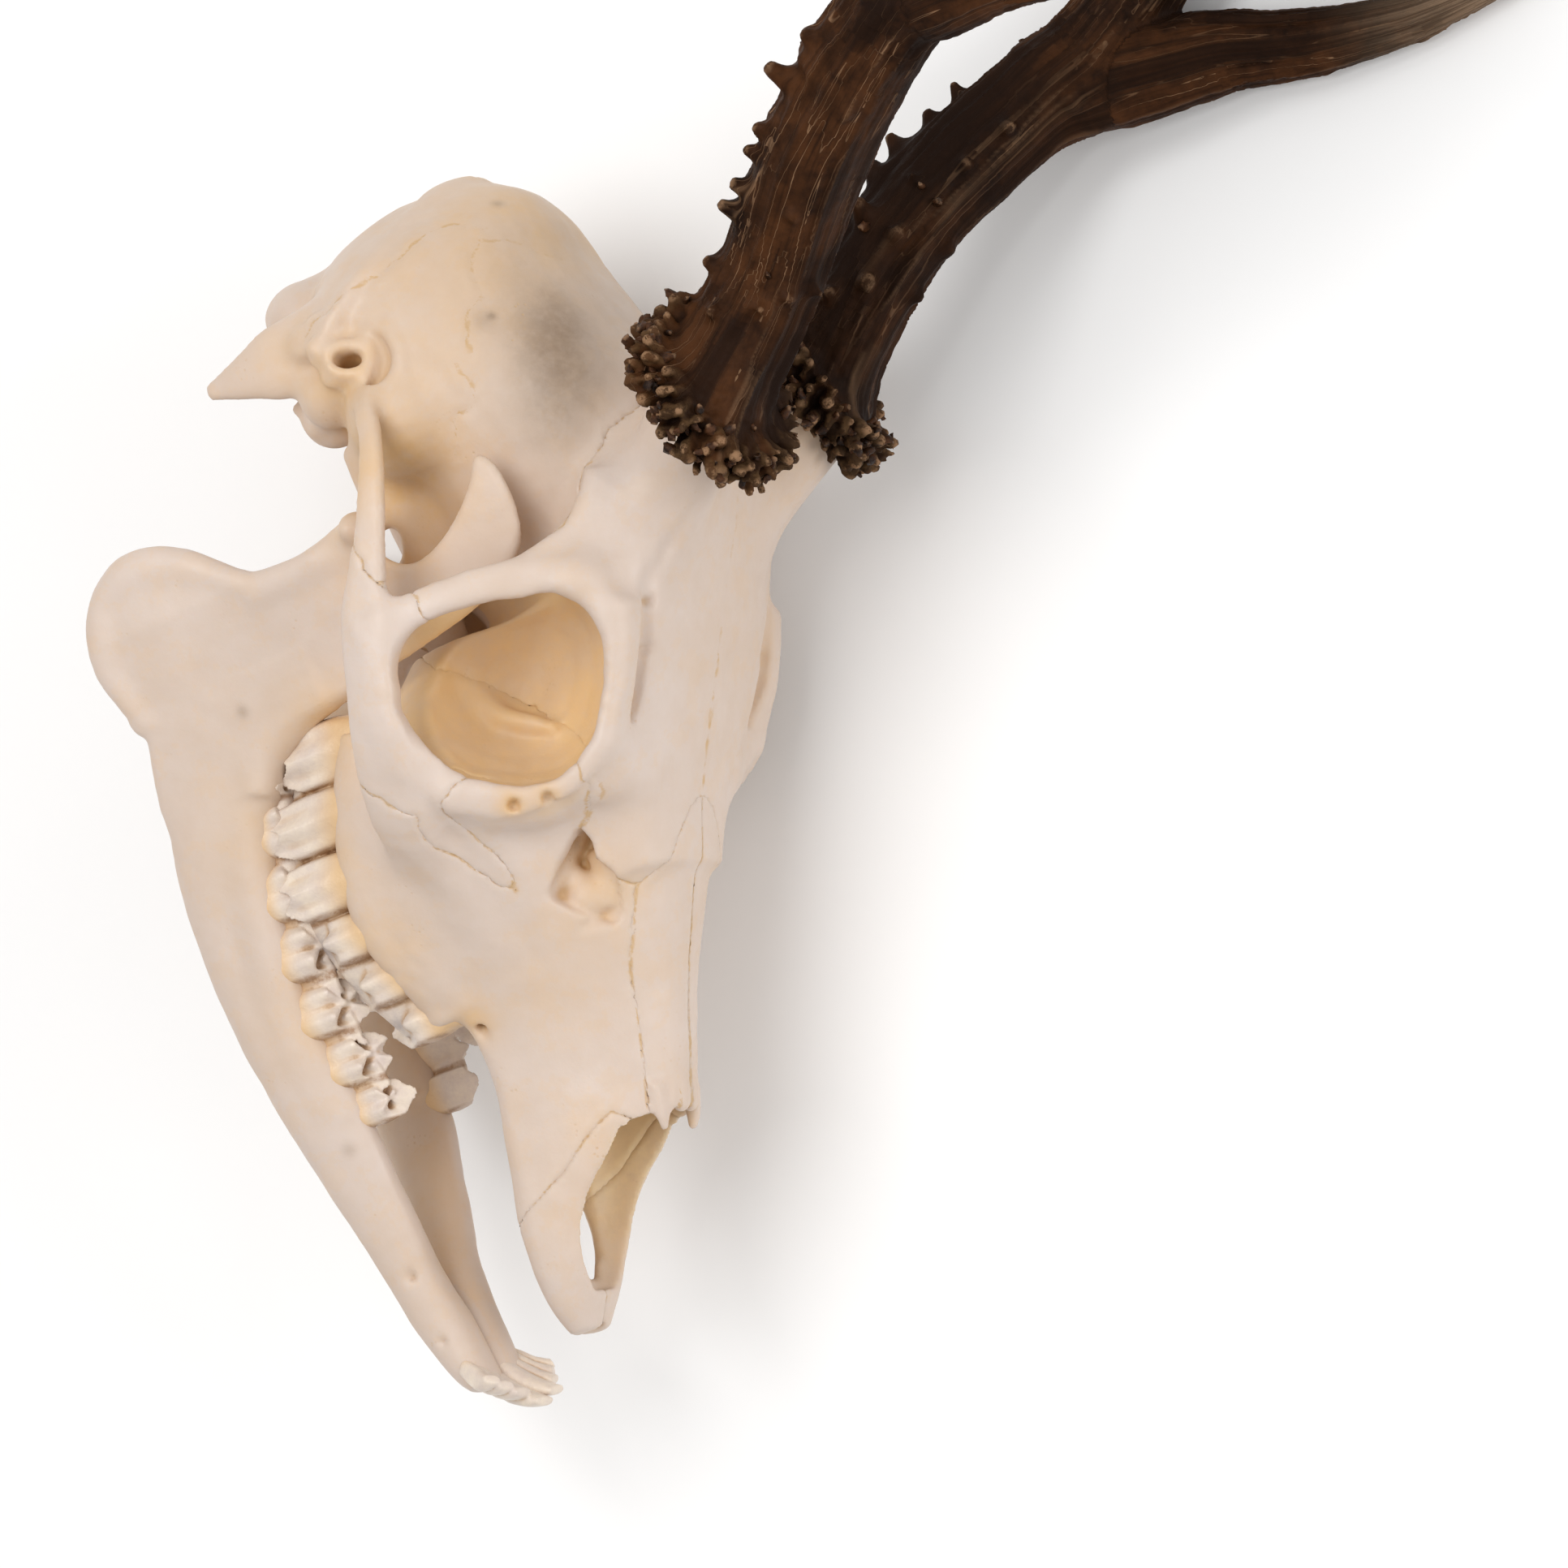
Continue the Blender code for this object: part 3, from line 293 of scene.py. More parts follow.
JUGAL = [
    (-72.2, 22.8), (-77.7, 23.4), (-82.9, 22), (-87.2, 20.4), (-89.5, 23), (-92, 27.6), (-100, 29),
    (-112, 30), (-117, 31.2), (-123, 31.2), (-127, 29.4), (-125.5, 26.8), (-132, 24.2), (-142, 20.6),
    (-150, 17), (-150, 4), (-120, 0), (-106, 3), (-98, 8), (-94.5, 10.4), (-91, 13.2), (-88.8, 16.2),
    (-86, 15.6), (-83.4, 15), (-81, 17), (-78, 18.1), (-75.2, 20.2),
]
JUGAL_INSIDE = [
    (-60, 19), (-72, 20), (-80, 22.5), (-88, 27), (-96, 32), (-106, 36.5), (-130, 37.5), (-150, 36),
]
# Half of the nasal bones seen from above, as (X, Y), and the level under them at two places along Y
NASAL_HALF = [(0, -80.5), (4.5, -78.5), (8.2, -73.6), (9.8, -70), (13.2, -67.6), (12.2, -60), (10.7, -50)]
NASAL_HALF += [
    (9.9, -40), (9.3, -34), (8.4, -29), (6.8, -24), (4.2, -24), (3.9, -30), (3.7, -33.5), (3.3, -30),
    (2.6, -27), (0.4, -27),
]
NASAL_FLOOR = ((-80, 39.6), (-28, 25.6))

# Sutures and foramina that only mark the surface of one bone, as points on the right side
SURFACE_SEAMS = {
    "squamosal": [
        (19.8, -183.2, 52.3), (22.9, -179.4, 51.2), (24.5, -175.4, 51.5), (25.2, -172.5, 52.1),
        (26.8, -170.8, 49.8), (28, -167.9, 48.6), (28.7, -162.8, 48),
    ],
    "squamosal_low": [
        (29.3, -162.3, 45.2), (29.1, -159.3, 45.3), (28.5, -156.5, 46.6), (28.2, -153.6, 44.4),
        (28.1, -152.8, 40.7), (26.2, -147.7, 38.4),
    ],
    "nuchal": [
        (29, -174.1, 17.1), (29.7, -178.7, 20.9), (29.9, -181.3, 28), (28.6, -181.8, 30.8),
        (25.2, -184.4, 38.4), (22, -187.1, 41.8), (18.9, -187.9, 47.2), (18.5, -186.7, 49.9),
    ],
    "parietal": [(19.1, -183.2, 53.3), (15.2, -181.4, 58.2), (12.1, -178.9, 61.5), (7.7, -177.4, 64)],
    "interfrontal": [(0, -134, 78), (0, -122, 75), (0, -110, 69.5), (0, -96, 59.5), (0, -80, 51)],
    "lacrimal": [(29, -87, 20.3), (27.3, -82.9, 22), (25.3, -77.7, 23.3), (23.6, -72.6, 23)],
    "lacrimal_upper": [(20.2, -78.9, 36.3), (25.2, -84, 44.7), (29.9, -86.6, 45.5)],
}

# Soft patches of colour on the bones: (x, y, z, reach, strength), on the right side
# Grey smudges; the patch at (27.5, -151, 28) is painted shade in the hollow between the cheek arch and the
# braincase
GREY_SMUDGES_AND_SHADE = [
    (20, -161, 62.4, 8, 0.5), (22, -153, 61, 8, 0.42), (17.4, -168, 61.6, 7, 0.4),
    (22.8, -145, 59, 6, 0.3), (23, -160, 57.5, 8, 0.22), (25.6, -149, 53.5, 7, 0.2),
    (19.3, -174, 57, 6, 0.2), (20, -180, 54, 20, 0.16), (22, -122, 69, 11, 0.12), (22, -72, 12, 15, 0.1),
    (21, -131, 74, 5, 0.2), (26, -168, 51, 2.4, 0.3), (27.5, -151, 28, 7.5, 0.65),
    (10.3, -189.6, 52.9, 1.2, 0.9), (25.6, -168.3, 52.7, 0.8, 0.9), (30.8, -119.4, -14.2, 1.2, 0.9),
    (16.9, -42.2, -27.5, 1.4, 0.4), (36.8, -126.4, 47, 0.9, 1.0),
]
# Golden patches: greasy and stained bone, and painted warm shade over the braincase and in the hollow
# behind the eye socket
GOLDEN_STAIN_AND_SHADE_PLACES = [
    (18, -172, 44, 30, 0.34), (8, -186, 56, 14, 0.45), (35.4, -84.8, 32.7, 2.6, 1),
    (32.8, -84.3, 38.1, 2.6, 1), (30, -168, 24, 8, 0.6), (28, -175, 14, 7, 0.4), (42, -146, 27, 8, 0.35),
    (27, -92, -8, 9, 0.4), (23, -72, -7, 9, 0.5), (27, -112, 0, 9, 0.8), (17, -55, 4, 4, 0.8),
    (11, -60, 20, 10, 0.4), (0, -40, 12, 9, 0.6), (2, -20, 6, 9, 0.5), (29, -148, 27, 12, 1),
    (24, -136, 22, 10, 0.8), (12, -72, 34, 7, 0.9), (26, -100, -18, 9, 0.4), (21, -66, -24, 9, 0.3),
    (13, -31, 17, 6, 0.3),
]
# Bone inside the nose that is thin enough to glow, as (x, y, z, reach, strength) on the right side
THIN_PLACES = [(9, -22, 6, 11, 0.8), (10, -32, 12, 10, 1), (8, -42, 20, 10, 0.7)]
# Places where the bone is knobbly, as (x, y, z, reach, strength) on the right side
ROUGH_PLACES = [
    (29, -176, 24, 9, 1), (12, -196, 40, 9, 0.5), (31, -98, 51, 7, 0.6), (22, -118, 68, 5, 0.5),
    (20, -70, -3, 7, 0.5),
]

# ---------------------------------------------------------------- the teeth's and the jaw's measures
# Cheek teeth from the rearmost forwards:
# (middle along Y, outer X, half length, half width, lobes, gum line, biting edge, slope of the biting face)
UPPER_TEETH = [
    (-108, 27.8, 6.0, 5.4, 2, -0.5, -13.0, 0.1), (-96.8, 28.5, 5.6, 5.6, 2, -5.2, -18.2, 0.1),
    (-86, 27.8, 5.5, 5.4, 2, -8.4, -21.2, 0.0), (-76.2, 25.6, 4.4, 4.8, 1, -9.2, -19.4, -0.34),
    (-67.5, 22.1, 4.4, 4.4, 1, -6.8, -16.8, -0.36), (-59, 18.2, 4.2, 3.7, 1, -3.8, -12.6, -0.36),
]
LOWER_TEETH = [
    (-106.2, 28.4, 2.7, 3.4, 1, -16.5, -12.4, -0.2), (-98.6, 28.0, 5.1, 3.8, 2, -19.5, -14.4, -0.24),
    (-88, 27.0, 5.4, 3.9, 2, -23, -16.8, -0.24), (-77.2, 25.2, 5.3, 3.8, 2, -24.8, -16.9, -0.24),
    (-66.6, 22.4, 5.0, 3.5, 2, -26.3, -17.3, -0.24), (-56.9, 19.5, 4.6, 3.1, 2, -25.5, -16.9, -0.24),
    (-48.4, 16.6, 3.8, 2.6, 1, -24.0, -15.9, -0.24),
]
# Places along a crown for its rings, from the root at -0.5 to the biting edge at 1
CROWN_LEVELS = (-0.5, -0.25, 0, 0.15, 0.4, 0.65, 0.85, 1)
# A crescent pit along a lobe: (place along it, how deep, radius)
PIT_BEND = ((-0.7, -0.1, 0.4), (-0.35, 0.7, 0.75), (0, 1, 0.95), (0.35, 0.7, 0.75), (0.7, -0.1, 0.4))
PIT_DEPTH = 1.9
# How far the ribs stand out on the cheek's side and the tongue's side, and which way the pits bow
UPPER_RELIEF = (0.2, -0.14, -1)
LOWER_RELIEF = (-0.24, 0.12, 1)
FRONT_TOOTH_WIDTHS = (5.3, 4.1, 3.5, 3.0)
# A front tooth: (share of the way from root to tip, breadth, half thickness)
FRONT_TOOTH_RINGS = (
    (-0.3, 0.6, 1.5), (0.05, 0.8, 1.8), (0.4, 0.98, 1.8), (0.75, 1.08, 1.4), (1.0, 1.08, 0.8),
)

# Lower jaw: (place along Y, middle X, half thickness, top, bottom)
JAW_BODY = [
    (4.8, 3.2, 3.6, -19.6, -24.8), (1.2, 3.8, 4.6, -20, -27.4), (-8, 4.4, 5.0, -21.5, -31),
    (-18, 6.8, 4.6, -23, -32.8), (-28, 9.8, 3.9, -22.9, -34.5), (-42, 13.6, 3.9, -22.9, -37),
    (-54, 16.2, 4.4, -24.8, -39.2), (-68, 19, 4.8, -26.5, -41), (-84, 21.8, 5.0, -24.5, -41.2),
    (-98, 24.4, 4.8, -19, -39.8), (-112, 26.6, 3.8, -10, -36.6), (-124, 28.6, 2.6, 0, -34.6),
]
JAW_PLATE = [
    (-106, -18), (-113.5, -9), (-115.5, 6), (-118.5, 24), (-122, 37), (-128, 45.6), (-136, 47.8),
    (-142.5, 47), (-145.4, 44), (-140.4, 41), (-135.6, 35.8), (-132.2, 29), (-132.6, 24), (-136.5, 20.5),
    (-142.5, 17), (-140, 8), (-140.5, -3), (-145, -10.5), (-150.8, -18), (-152.2, -26), (-148.8, -33),
    (-142, -37.4), (-133.5, -38), (-128, -35.5), (-122, -34), (-106, -36.5),
]
JAW_PLATE_HALF_THICKNESS = 1.5
JAW_PLATE_EDGE = 1.1
JAW_CONDYLE = ((33, -140.5, 19.5), (6.5, 3.4, 3.0))
LEFT_JAW_SHIFT = (0, -1.6, 0.6)
JAW_NECK = [(32, -139, 18, 3), (32.5, -138, 8, 2.4), (33, -138, -4, 2.2)]
# The swollen border of the jaw's angle, the ridge in front of its plate, and its two foramina
JAW_ANGLE_BORDER = [
    (33.6, -140.5, -6, 1.6), (34, -147, -15, 2.4), (34, -149.2, -25, 2.8), (33.5, -145.5, -33, 2.4),
    (32.5, -135, -36.2, 2.2), (30.5, -124, -33.5, 2),
]
JAW_FRONT_RIDGE = [
    (27.6, -105, -17.5, 3, 3), (27, -112, -13.5, 3, 3.6), (26, -117.4, -5, 3, 4),
    (26.5, -119.5, 4, 2.4, 4.5),
]
CHIN_FORAMEN = [(14, -20.4, -26.6, 0.4), (11.4, -18.6, -26.2, 0.8), (9.4, -16.8, -27, 0.5)]
CHIN_FORAMEN_SMALL = [(11.5, -7, -25.5, 0.4), (9.6, -6, -25.6, 0.7), (6, -4, -25.5, 0.4)]

# ---------------------------------------------------------------- the antlers' measures

CORONET_CENTRE = np.array((21, -141.6, 86.4))
CORONET_AXIS = np.array((0.18, -0.24, 0.95)) / np.linalg.norm((0.18, -0.24, 0.95))
CORONET_RADIUS = 16.5
CORONET_THICKNESS = 5.2
CORONET_KNOBS = 130
# Large pearls on the beam: (place along the beam in rows, degrees, length).
# The degrees run from the photo's left towards its camera.
BEAM_SPIKES = [
    (1.5, 0, 3.1), (1.9, 50, 2.2), (2.5, 95, 1.8), (2.67, 0, 2.5), (3.0, 115, 1.8), (3.17, 143, 2.2),
    (4.17, 4, 4.0), (4.67, 0, 2.9), (5.0, 91, 1.3), (5.5, 0, 2.2), (6.0, 0, 2.2), (7.33, 0, 5.2),
    (7.5, 103, 1.0), (8.17, 0, 3.0),
]
LEFT_BEAM_SPIKES = [
    (1.4, 10, 2.4), (2.2, 60, 2.6), (2.67, 91, 2.8), (3.0, 159, 1.4), (3.67, 39, 4.2), (3.67, 87, 2.0),
    (4.17, 159, 1.2), (4.5, 8, 3.4), (4.67, 55, 2.2), (5.33, 0, 4.6), (5.5, 91, 1.8), (6.0, 0, 2.6),
    (6.67, 0, 3.6), (6.67, 95, 2.4), (8.0, 131, 1.6), (8.17, 0, 1.6), (9.0, 120, 2.2),
]
# A rough swelling along the photo's left of the left beam: (place along the beam in rows, radius)
LEFT_SWELLING = [(2.6, 1.0), (4, 3.2), (5, 3.8), (6, 4.2), (7, 4.2), (8, 3.4), (8.8, 1.0)]
# The antler's runs: (x, y, z, radius) along the right one
BEAM = [
    (20.8, -141, 85, 11.5), (19.8, -146.3, 91, 10.2), (19.6, -151.3, 97.3, 9.6),
    (20.8, -156.6, 103.8, 9.2), (23.4, -161.6, 110.2, 9.1), (27.3, -166.5, 116.8, 9.2),
    (31.6, -170.9, 123.6, 9.5), (35.6, -175, 131.2, 9.2), (38.8, -178.9, 138.6, 9.0),
    (42.2, -182.6, 146.6, 8.7), (44, -188.6, 156.6, 8.2), (44.4, -195.5, 168.5, 7.8),
    (44.9, -201, 180, 7.0), (45, -205, 192, 6.8), (44.8, -205.5, 205, 5.4), (44, -203, 219, 4.2),
    (43, -199, 232, 2.9), (41.5, -195, 243, 1.0),
]
FRONT_TINE = [
    (38.5, -178.5, 135, 8.4), (41.0, -176.9, 144.7, 8.5), (44.0, -175.8, 157.1, 7.9),
    (46.5, -174.5, 168.7, 6.9), (48.0, -172.1, 177.0, 6.0), (49.5, -169.9, 185.4, 5.4),
    (50.8, -168.5, 194.1, 4.6), (51.8, -167.4, 203.0, 3.9), (52.6, -167.3, 212.3, 3.1),
    (53.3, -167.7, 221.8, 2.2), (54.0, -168.7, 230.7, 0.9),
]
REAR_TINE = [
    (45, -207, 190, 5.8), (46, -214, 199, 5.3), (46.7, -223, 207, 4.1), (47.2, -232, 214, 2.8),
    (47.5, -240, 220, 0.9),
]
# Black places on the antlers: (x, y, z, reach, strength)
RIGHT_ANTLER_DARK = [
    (18, -140, 97, 9, 0.7), (14, -146, 92, 8, 0.7), (22, -154, 110, 6, 0.5), (12, -144, 84, 8, 0.5),
    (30, -164, 124, 6, 0.4),
]
LEFT_ANTLER_DARK = [
    (14, -150, 90, 9, 0.6), (16, -156, 98, 10, 0.7), (19, -163, 106, 11, 0.8), (25, -170, 114, 11, 0.8),
    (30, -176, 124, 11, 0.7), (35, -180, 136, 11, 0.6),
]
RIGHT_TINE_SHIFT = (1.5, -7, 2.4)
RIGHT_TINE_SHARE = 0.9
LEFT_ANTLER_SHIFT = (0, -2.9, 1.0)
# The ways that the photo's left and its camera lie, for the right antler
PHOTO_LEFT = (0.436, -0.304, -0.847)
TO_CAMERA = (0.9, 0.162, 0.405)
ANTLER_STEPS = 6
# How much wider each coronet is, and towards where
RIGHT_SPREAD = (2.9, 2.7, 0.1)
LEFT_SPREAD = (-0.3, 1.0, 0.0)
# Which random knobs and ridges each antler has
RIGHT_SEED = 70
LEFT_SEED = 90
# Where the pale tip starts on the beam, the front tine and the rear tine, as a share of their lengths
TIP_STARTS = (0.66, 0.3, 0.05)


def laid_down():
    """The matrix from the skull's frame in mm to the model's frame in metres."""
    up = Vector(SKULL_UP).normalized()
    away = Vector(AWAY_FROM_NOSE)
    away = (away - away.dot(up) * up).normalized()
    turn = Matrix((away.cross(up), away, up))
    return Matrix.Translation(Vector(SKULL_PLACE) * MM) @ turn.to_4x4() @ Matrix.Scale(MM, 4)


# ---------------------------------------------------------------- shapes


def smooth_path(rows, steps):
    """The rows, with steps - 1 more between each two, on a Catmull-Rom curve through them."""
    rows = np.array(rows, float)
    ends = np.concatenate((rows[:1], rows, rows[-1:]))
    p, q, r, s = (ends[i : len(rows) - 1 + i, None] for i in range(4))
    t = (np.arange(steps) / steps)[None, :, None]
    between = q + t * (r - p + t * (2 * p - 5 * q + 4 * r - s + t * (3 * (q - r) + s - p))) / 2
    return np.concatenate((between.reshape(-1, rows.shape[1]), rows[-1:]))


def unit(vectors):
    return vectors / np.linalg.norm(vectors, axis=-1, keepdims=True)


def skin(rings):
    """Points, quads and triangles of a closed skin over rings of points, with a pole at each end."""
    rings = np.array(rings, float)
    count, sides = rings.shape[:2]
    points = np.concatenate((rings.reshape(-1, 3), rings[0].mean(0)[None], rings[-1].mean(0)[None]))
    low = (np.arange(count - 1) * sides)[:, None]
    k = np.arange(sides)[None]
    j = (k + 1) % sides
    quads = np.stack((low + k, low + j, low + sides + j, low + sides + k), -1).reshape(-1, 4)
    k, j = k[0], j[0]
    last = (count - 1) * sides
    first_pole = np.stack((k, np.full(sides, count * sides), j), -1)
    last_pole = np.stack((last + k, last + j, np.full(sides, count * sides + 1)), -1)
    return points, quads, np.concatenate((first_pole, last_pole))


def round_the_clock(sides, power=2.0):
    """Points on a unit circle that is squared off as power rises above 2."""
    turns = 2 * np.pi * np.arange(sides) / sides
    c, s = np.cos(turns), np.sin(turns)
    return np.sign(c) * np.abs(c) ** (2 / power), np.sign(s) * np.abs(s) ** (2 / power)


def sections(rows, power=2.2, steps=4, sides=40):
    """A loft along Y through sections that each give half width, top, bottom and widest level."""
    across, up = round_the_clock(sides, power)
    rings = []
    for y, half_width, top, bottom, widest in smooth_path(rows, steps):
        height = np.where(up > 0, top - widest, widest - bottom)
        rings.append(np.stack((half_width * across, np.full(sides, y), widest + height * up), -1))
    return skin(rings)


def bar(rows, thin_side=(1, 0, 0), power=2.4, steps=4, sides=20):
    """A loft along (x, y, z, half thickness, half height); thin_side is how the thickness lies."""
    flat = smooth_path(rows, steps)
    centres = flat[:, :3]
    along = unit(np.gradient(centres, axis=0))
    high = unit(np.cross(along, np.array(thin_side, float)))
    thin = unit(np.cross(high, along))
    a, b = round_the_clock(sides, power)
    rings = centres[:, None] + thin[:, None] * (a * flat[:, 3:4])[..., None]
    rings = rings + high[:, None] * (b * flat[:, 4:5])[..., None]
    return skin(rings)


def rod(rows, steps=4, sides=24):
    """A round tapering bar along (x, y, z, radius)."""
    return bar([(*row, row[-1]) for row in rows], power=2, steps=steps, sides=sides)


def turned_to(direction):
    """The 3 by 3 turn that brings +Z onto direction."""
    return np.array(Vector(direction).to_track_quat("Z", "Y").to_matrix())


def ball(centre, radii, direction=(0, 0, 1), sides=24):
    """An egg with its third radius along direction."""
    rings = []
    across, up = round_the_clock(sides)
    for step in range(1, sides // 2):
        level = math.pi * step / (sides // 2)
        width, height = math.sin(level), -math.cos(level)
        level = np.full(sides, height * radii[2])
        ring = np.stack((across * width * radii[0], up * width * radii[1], level), -1)
        rings.append(ring @ turned_to(direction).T + np.array(centre, float))
    return skin(rings)


# ---------------------------------------------------------------- clay


def melt(a, b, fillet):
    """The lesser of two fields, rounded where they are nearly the same."""
    if fillet <= 0:
        return np.minimum(a, b)
    near = np.maximum(fillet - np.abs(a - b), 0) / fillet
    return np.minimum(a, b) - near * near * fillet / 4


class Clay:
    """A block of space with the distance from each grid point to the modelled surface, negative inside."""

    def __init__(self, low, high, step):
        self.step = step
        self.start = np.floor(np.array(low) / step).astype(int)
        size = np.ceil(np.array(high) / step).astype(int) - self.start + 1
        self.field = np.full(size, FAR, np.float32)
        self.nearby = {}

    def axes(self):
        """The grid's X, Y and Z, shaped to spread over the field."""
        found = []
        for i in range(3):
            shape = [1, 1, 1]
            shape[i] = -1
            places = (np.arange(self.field.shape[i]) + self.start[i]) * self.step
            found.append(places.astype(np.float32).reshape(shape))
        return found

    def _reading(self, shape, reach):
        """The window of the field that a closed mesh touches, and its distances there."""
        points, quads, triangles = shape
        grid = vdb.FloatGrid.createLevelSetFromPolygons(
            points.astype(np.float32),
            triangles=triangles.astype(np.uint32),
            quads=quads.astype(np.uint32),
            transform=vdb.createLinearTransform(self.step),
            halfWidth=reach / self.step,
        )
        low = np.floor((points.min(0) - reach) / self.step).astype(int)
        high = np.ceil((points.max(0) + reach) / self.step).astype(int) + 1
        low = np.clip(low, self.start, self.start + self.field.shape)
        high = np.clip(high, self.start, self.start + self.field.shape)
        distances = np.empty(np.maximum(high - low, 0), np.float32)
        if distances.size:
            grid.copyToArray(distances, ijk=tuple(int(i) for i in low))
        window = tuple(slice(a, b) for a, b in zip(low - self.start, high - self.start))
        return window, distances

    def add(self, shape, fillet=0.0):
        window, distances = self._reading(shape, fillet + 2 * self.step)
        self.field[window] = melt(self.field[window], distances, fillet)

    def carve(self, shape, fillet=0.0):
        window, distances = self._reading(shape, fillet + 2 * self.step)
        self.field[window] = -melt(-self.field[window], distances, fillet)

    def smooth(self, rounds):
        field = np.clip(self.field, -SMOOTHED_REACH, SMOOTHED_REACH)
        for _ in range(rounds):
            for axis in range(3):
                moved = np.moveaxis(field, axis, 0)
                moved[1:-1] = (moved[:-2] + 2 * moved[1:-1] + moved[2:]) / 4
        self.field = field

    def mirror(self):
        """Doubles a block that starts at X = 0 to its other side."""
        self.field = np.concatenate((self.field[:0:-1], self.field))
        self.start = np.array((-(self.field.shape[0] // 2), self.start[1], self.start[2]))

    def closeness(self, cell):
        """How much bone there is about each place, from 0 to 1, on cells of that many grid steps."""
        solid = np.clip(0.5 - self.field / (2 * self.step), 0, 1)
        shape = [n // cell for n in solid.shape]
        solid = solid[: shape[0] * cell, : shape[1] * cell, : shape[2] * cell]
        solid = solid.reshape(shape[0], cell, shape[1], cell, shape[2], cell).mean((1, 3, 5))
        for _ in range(2):
            for axis in range(3):
                moved = np.moveaxis(solid, axis, 0)
                moved[1:-1] = (moved[:-2] + 2 * moved[1:-1] + moved[2:]) / 4
        return solid

    def about(self, points, cell):
        """How much there is about each point of the finished clay, over cells of that many grid steps."""
        if cell not in self.nearby:
            self.nearby[cell] = self.closeness(cell)
        return self.read(self.nearby[cell], points, cell)

    def read(self, values, points, cell=1):
        """Values of a grid over this block at the points, blended between grid points."""
        place = (points / self.step - self.start - (cell - 1) / 2) / cell
        top = np.array(values.shape) - 1.001
        place = np.clip(place, 0, top)
        base = place.astype(int)
        part = (place - base).astype(np.float32)
        total = np.zeros(len(points), np.float32)
        for corner in range(8):
            bits = [(corner >> i) & 1 for i in range(3)]
            share = np.prod([part[:, i] if bit else 1 - part[:, i] for i, bit in enumerate(bits)], axis=0)
            total += share * values[base[:, 0] + bits[0], base[:, 1] + bits[1], base[:, 2] + bits[2]]
        return total

    def surface(self, field):
        """Points and quads of the surface where the field is zero."""
        band = 3 * self.step
        grid = vdb.FloatGrid(band)
        grid.transform = vdb.createLinearTransform(self.step)
        padded = np.pad(np.clip(field, -band, band), 1, constant_values=band)
        first = tuple(int(i) - 1 for i in self.start)
        grid.copyFromArray(padded.astype(np.float32), ijk=first, tolerance=0.0)
        points, quads = grid.convertToQuads(0.0)
        return points.astype(np.float64), turned_out(points, quads.astype(np.int64))


# ---------------------------------------------------------------- patterns


def noise(points, size, seed):
    """Smooth random values between -1 and 1 at the points, varying over about size mm."""
    table = np.random.RandomState(seed).uniform(-1, 1, 4096).astype(np.float32)
    place = points / size
    base = np.floor(place).astype(np.int64)
    part = place - base
    part = part * part * (3 - 2 * part)
    total = np.zeros(points.shape[:-1])
    for corner in range(8):
        bits = [(corner >> i) & 1 for i in range(3)]
        key = (base[..., 0] + bits[0]) * 73856093
        key = key ^ (base[..., 1] + bits[1]) * 19349663 ^ (base[..., 2] + bits[2]) * 83492791
        share = 1.0
        for i, bit in enumerate(bits):
            share = share * (part[..., i] if bit else 1 - part[..., i])
        total += share * table[key & 4095]
    return total


def zigzag(y, z, amount, seed):
    """A jagged wander for a suture, over a grid of places seen from the side."""
    places = np.stack(np.broadcast_arrays(y, z, 0 * y + 0 * z), -1)
    return amount * (noise(places, 1.7, seed) + 0.6 * noise(places, 4.1, seed + 1))


def side_of_path(path, y, z):
    """Signed distance from a path seen from the side, positive to the right of the path's way."""
    best = np.full(np.broadcast(y, z).shape, 1e6, np.float32)
    side = np.zeros_like(best)
    for (y0, z0), (y1, z1) in zip(path, path[1:]):
        ay, az = y1 - y0, z1 - z0
        share = np.clip(((y - y0) * ay + (z - z0) * az) / (ay * ay + az * az), 0, 1)
        dy, dz = y - y0 - share * ay, z - z0 - share * az
        distance = dy * dy + dz * dz
        closer = distance < best - 1e-6
        cross = (y - y0) * az - (z - z0) * ay
        best = np.where(closer, distance, best)
        side = np.where(closer, cross, side)
    return np.sqrt(best) * np.sign(side)


def inside_outline(path, y, z):
    """Signed distance from a closed outline, negative inside."""
    closed = list(path) + [path[0]]
    best = np.full(np.broadcast(y, z).shape, 1e6, np.float32)
    inside = np.zeros(best.shape, bool)
    for (y0, z0), (y1, z1) in zip(closed, closed[1:]):
        ay, az = y1 - y0, z1 - z0
        share = np.clip(((y - y0) * ay + (z - z0) * az) / (ay * ay + az * az), 0, 1)
        dy, dz = y - y0 - share * ay, z - z0 - share * az
        best = np.minimum(best, dy * dy + dz * dz)
        if az:
            crosses = (z0 > z) != (z1 > z)
            inside ^= crosses & (y < y0 + ay * (z - z0) / az)
    return np.where(inside, -1, 1) * np.sqrt(best)


# ---------------------------------------------------------------- bones as clay


def hoop(rings):
    """Points, quads and no triangles of a closed ring of rings."""
    rings = np.array(rings, float)
    count, sides = rings.shape[:2]
    low = (np.arange(count) * sides)[:, None]
    high = (low + sides) % (count * sides)
    k = np.arange(sides)[None]
    j = (k + 1) % sides
    quads = np.stack((low + k, low + j, high + j, high + k), -1).reshape(-1, 4)
    return rings.reshape(-1, 3), quads, np.empty((0, 3), int)


def orbit_ring(depth, share):
    """The opening's uneven outline, scaled by a share and moved out along the way the eye looked."""
    across = unit(np.cross(ORBIT_LOOK, (0, 0, 1)))
    up = np.cross(across, ORBIT_LOOK)
    radii = smooth_path([(radius,) for radius in ORBIT_RADII + ORBIT_RADII[:1]], 3)[:-1]
    turns = (math.tau * np.arange(len(radii)) / len(radii))[:, None]
    out = across * np.cos(turns) + up * np.sin(turns)
    radii = radii + RIM_WOBBLE * noise(out * 9, 1.3, 77)[:, None]
    return ORBIT_CENTRE + out * radii * share + ORBIT_LOOK * depth, out


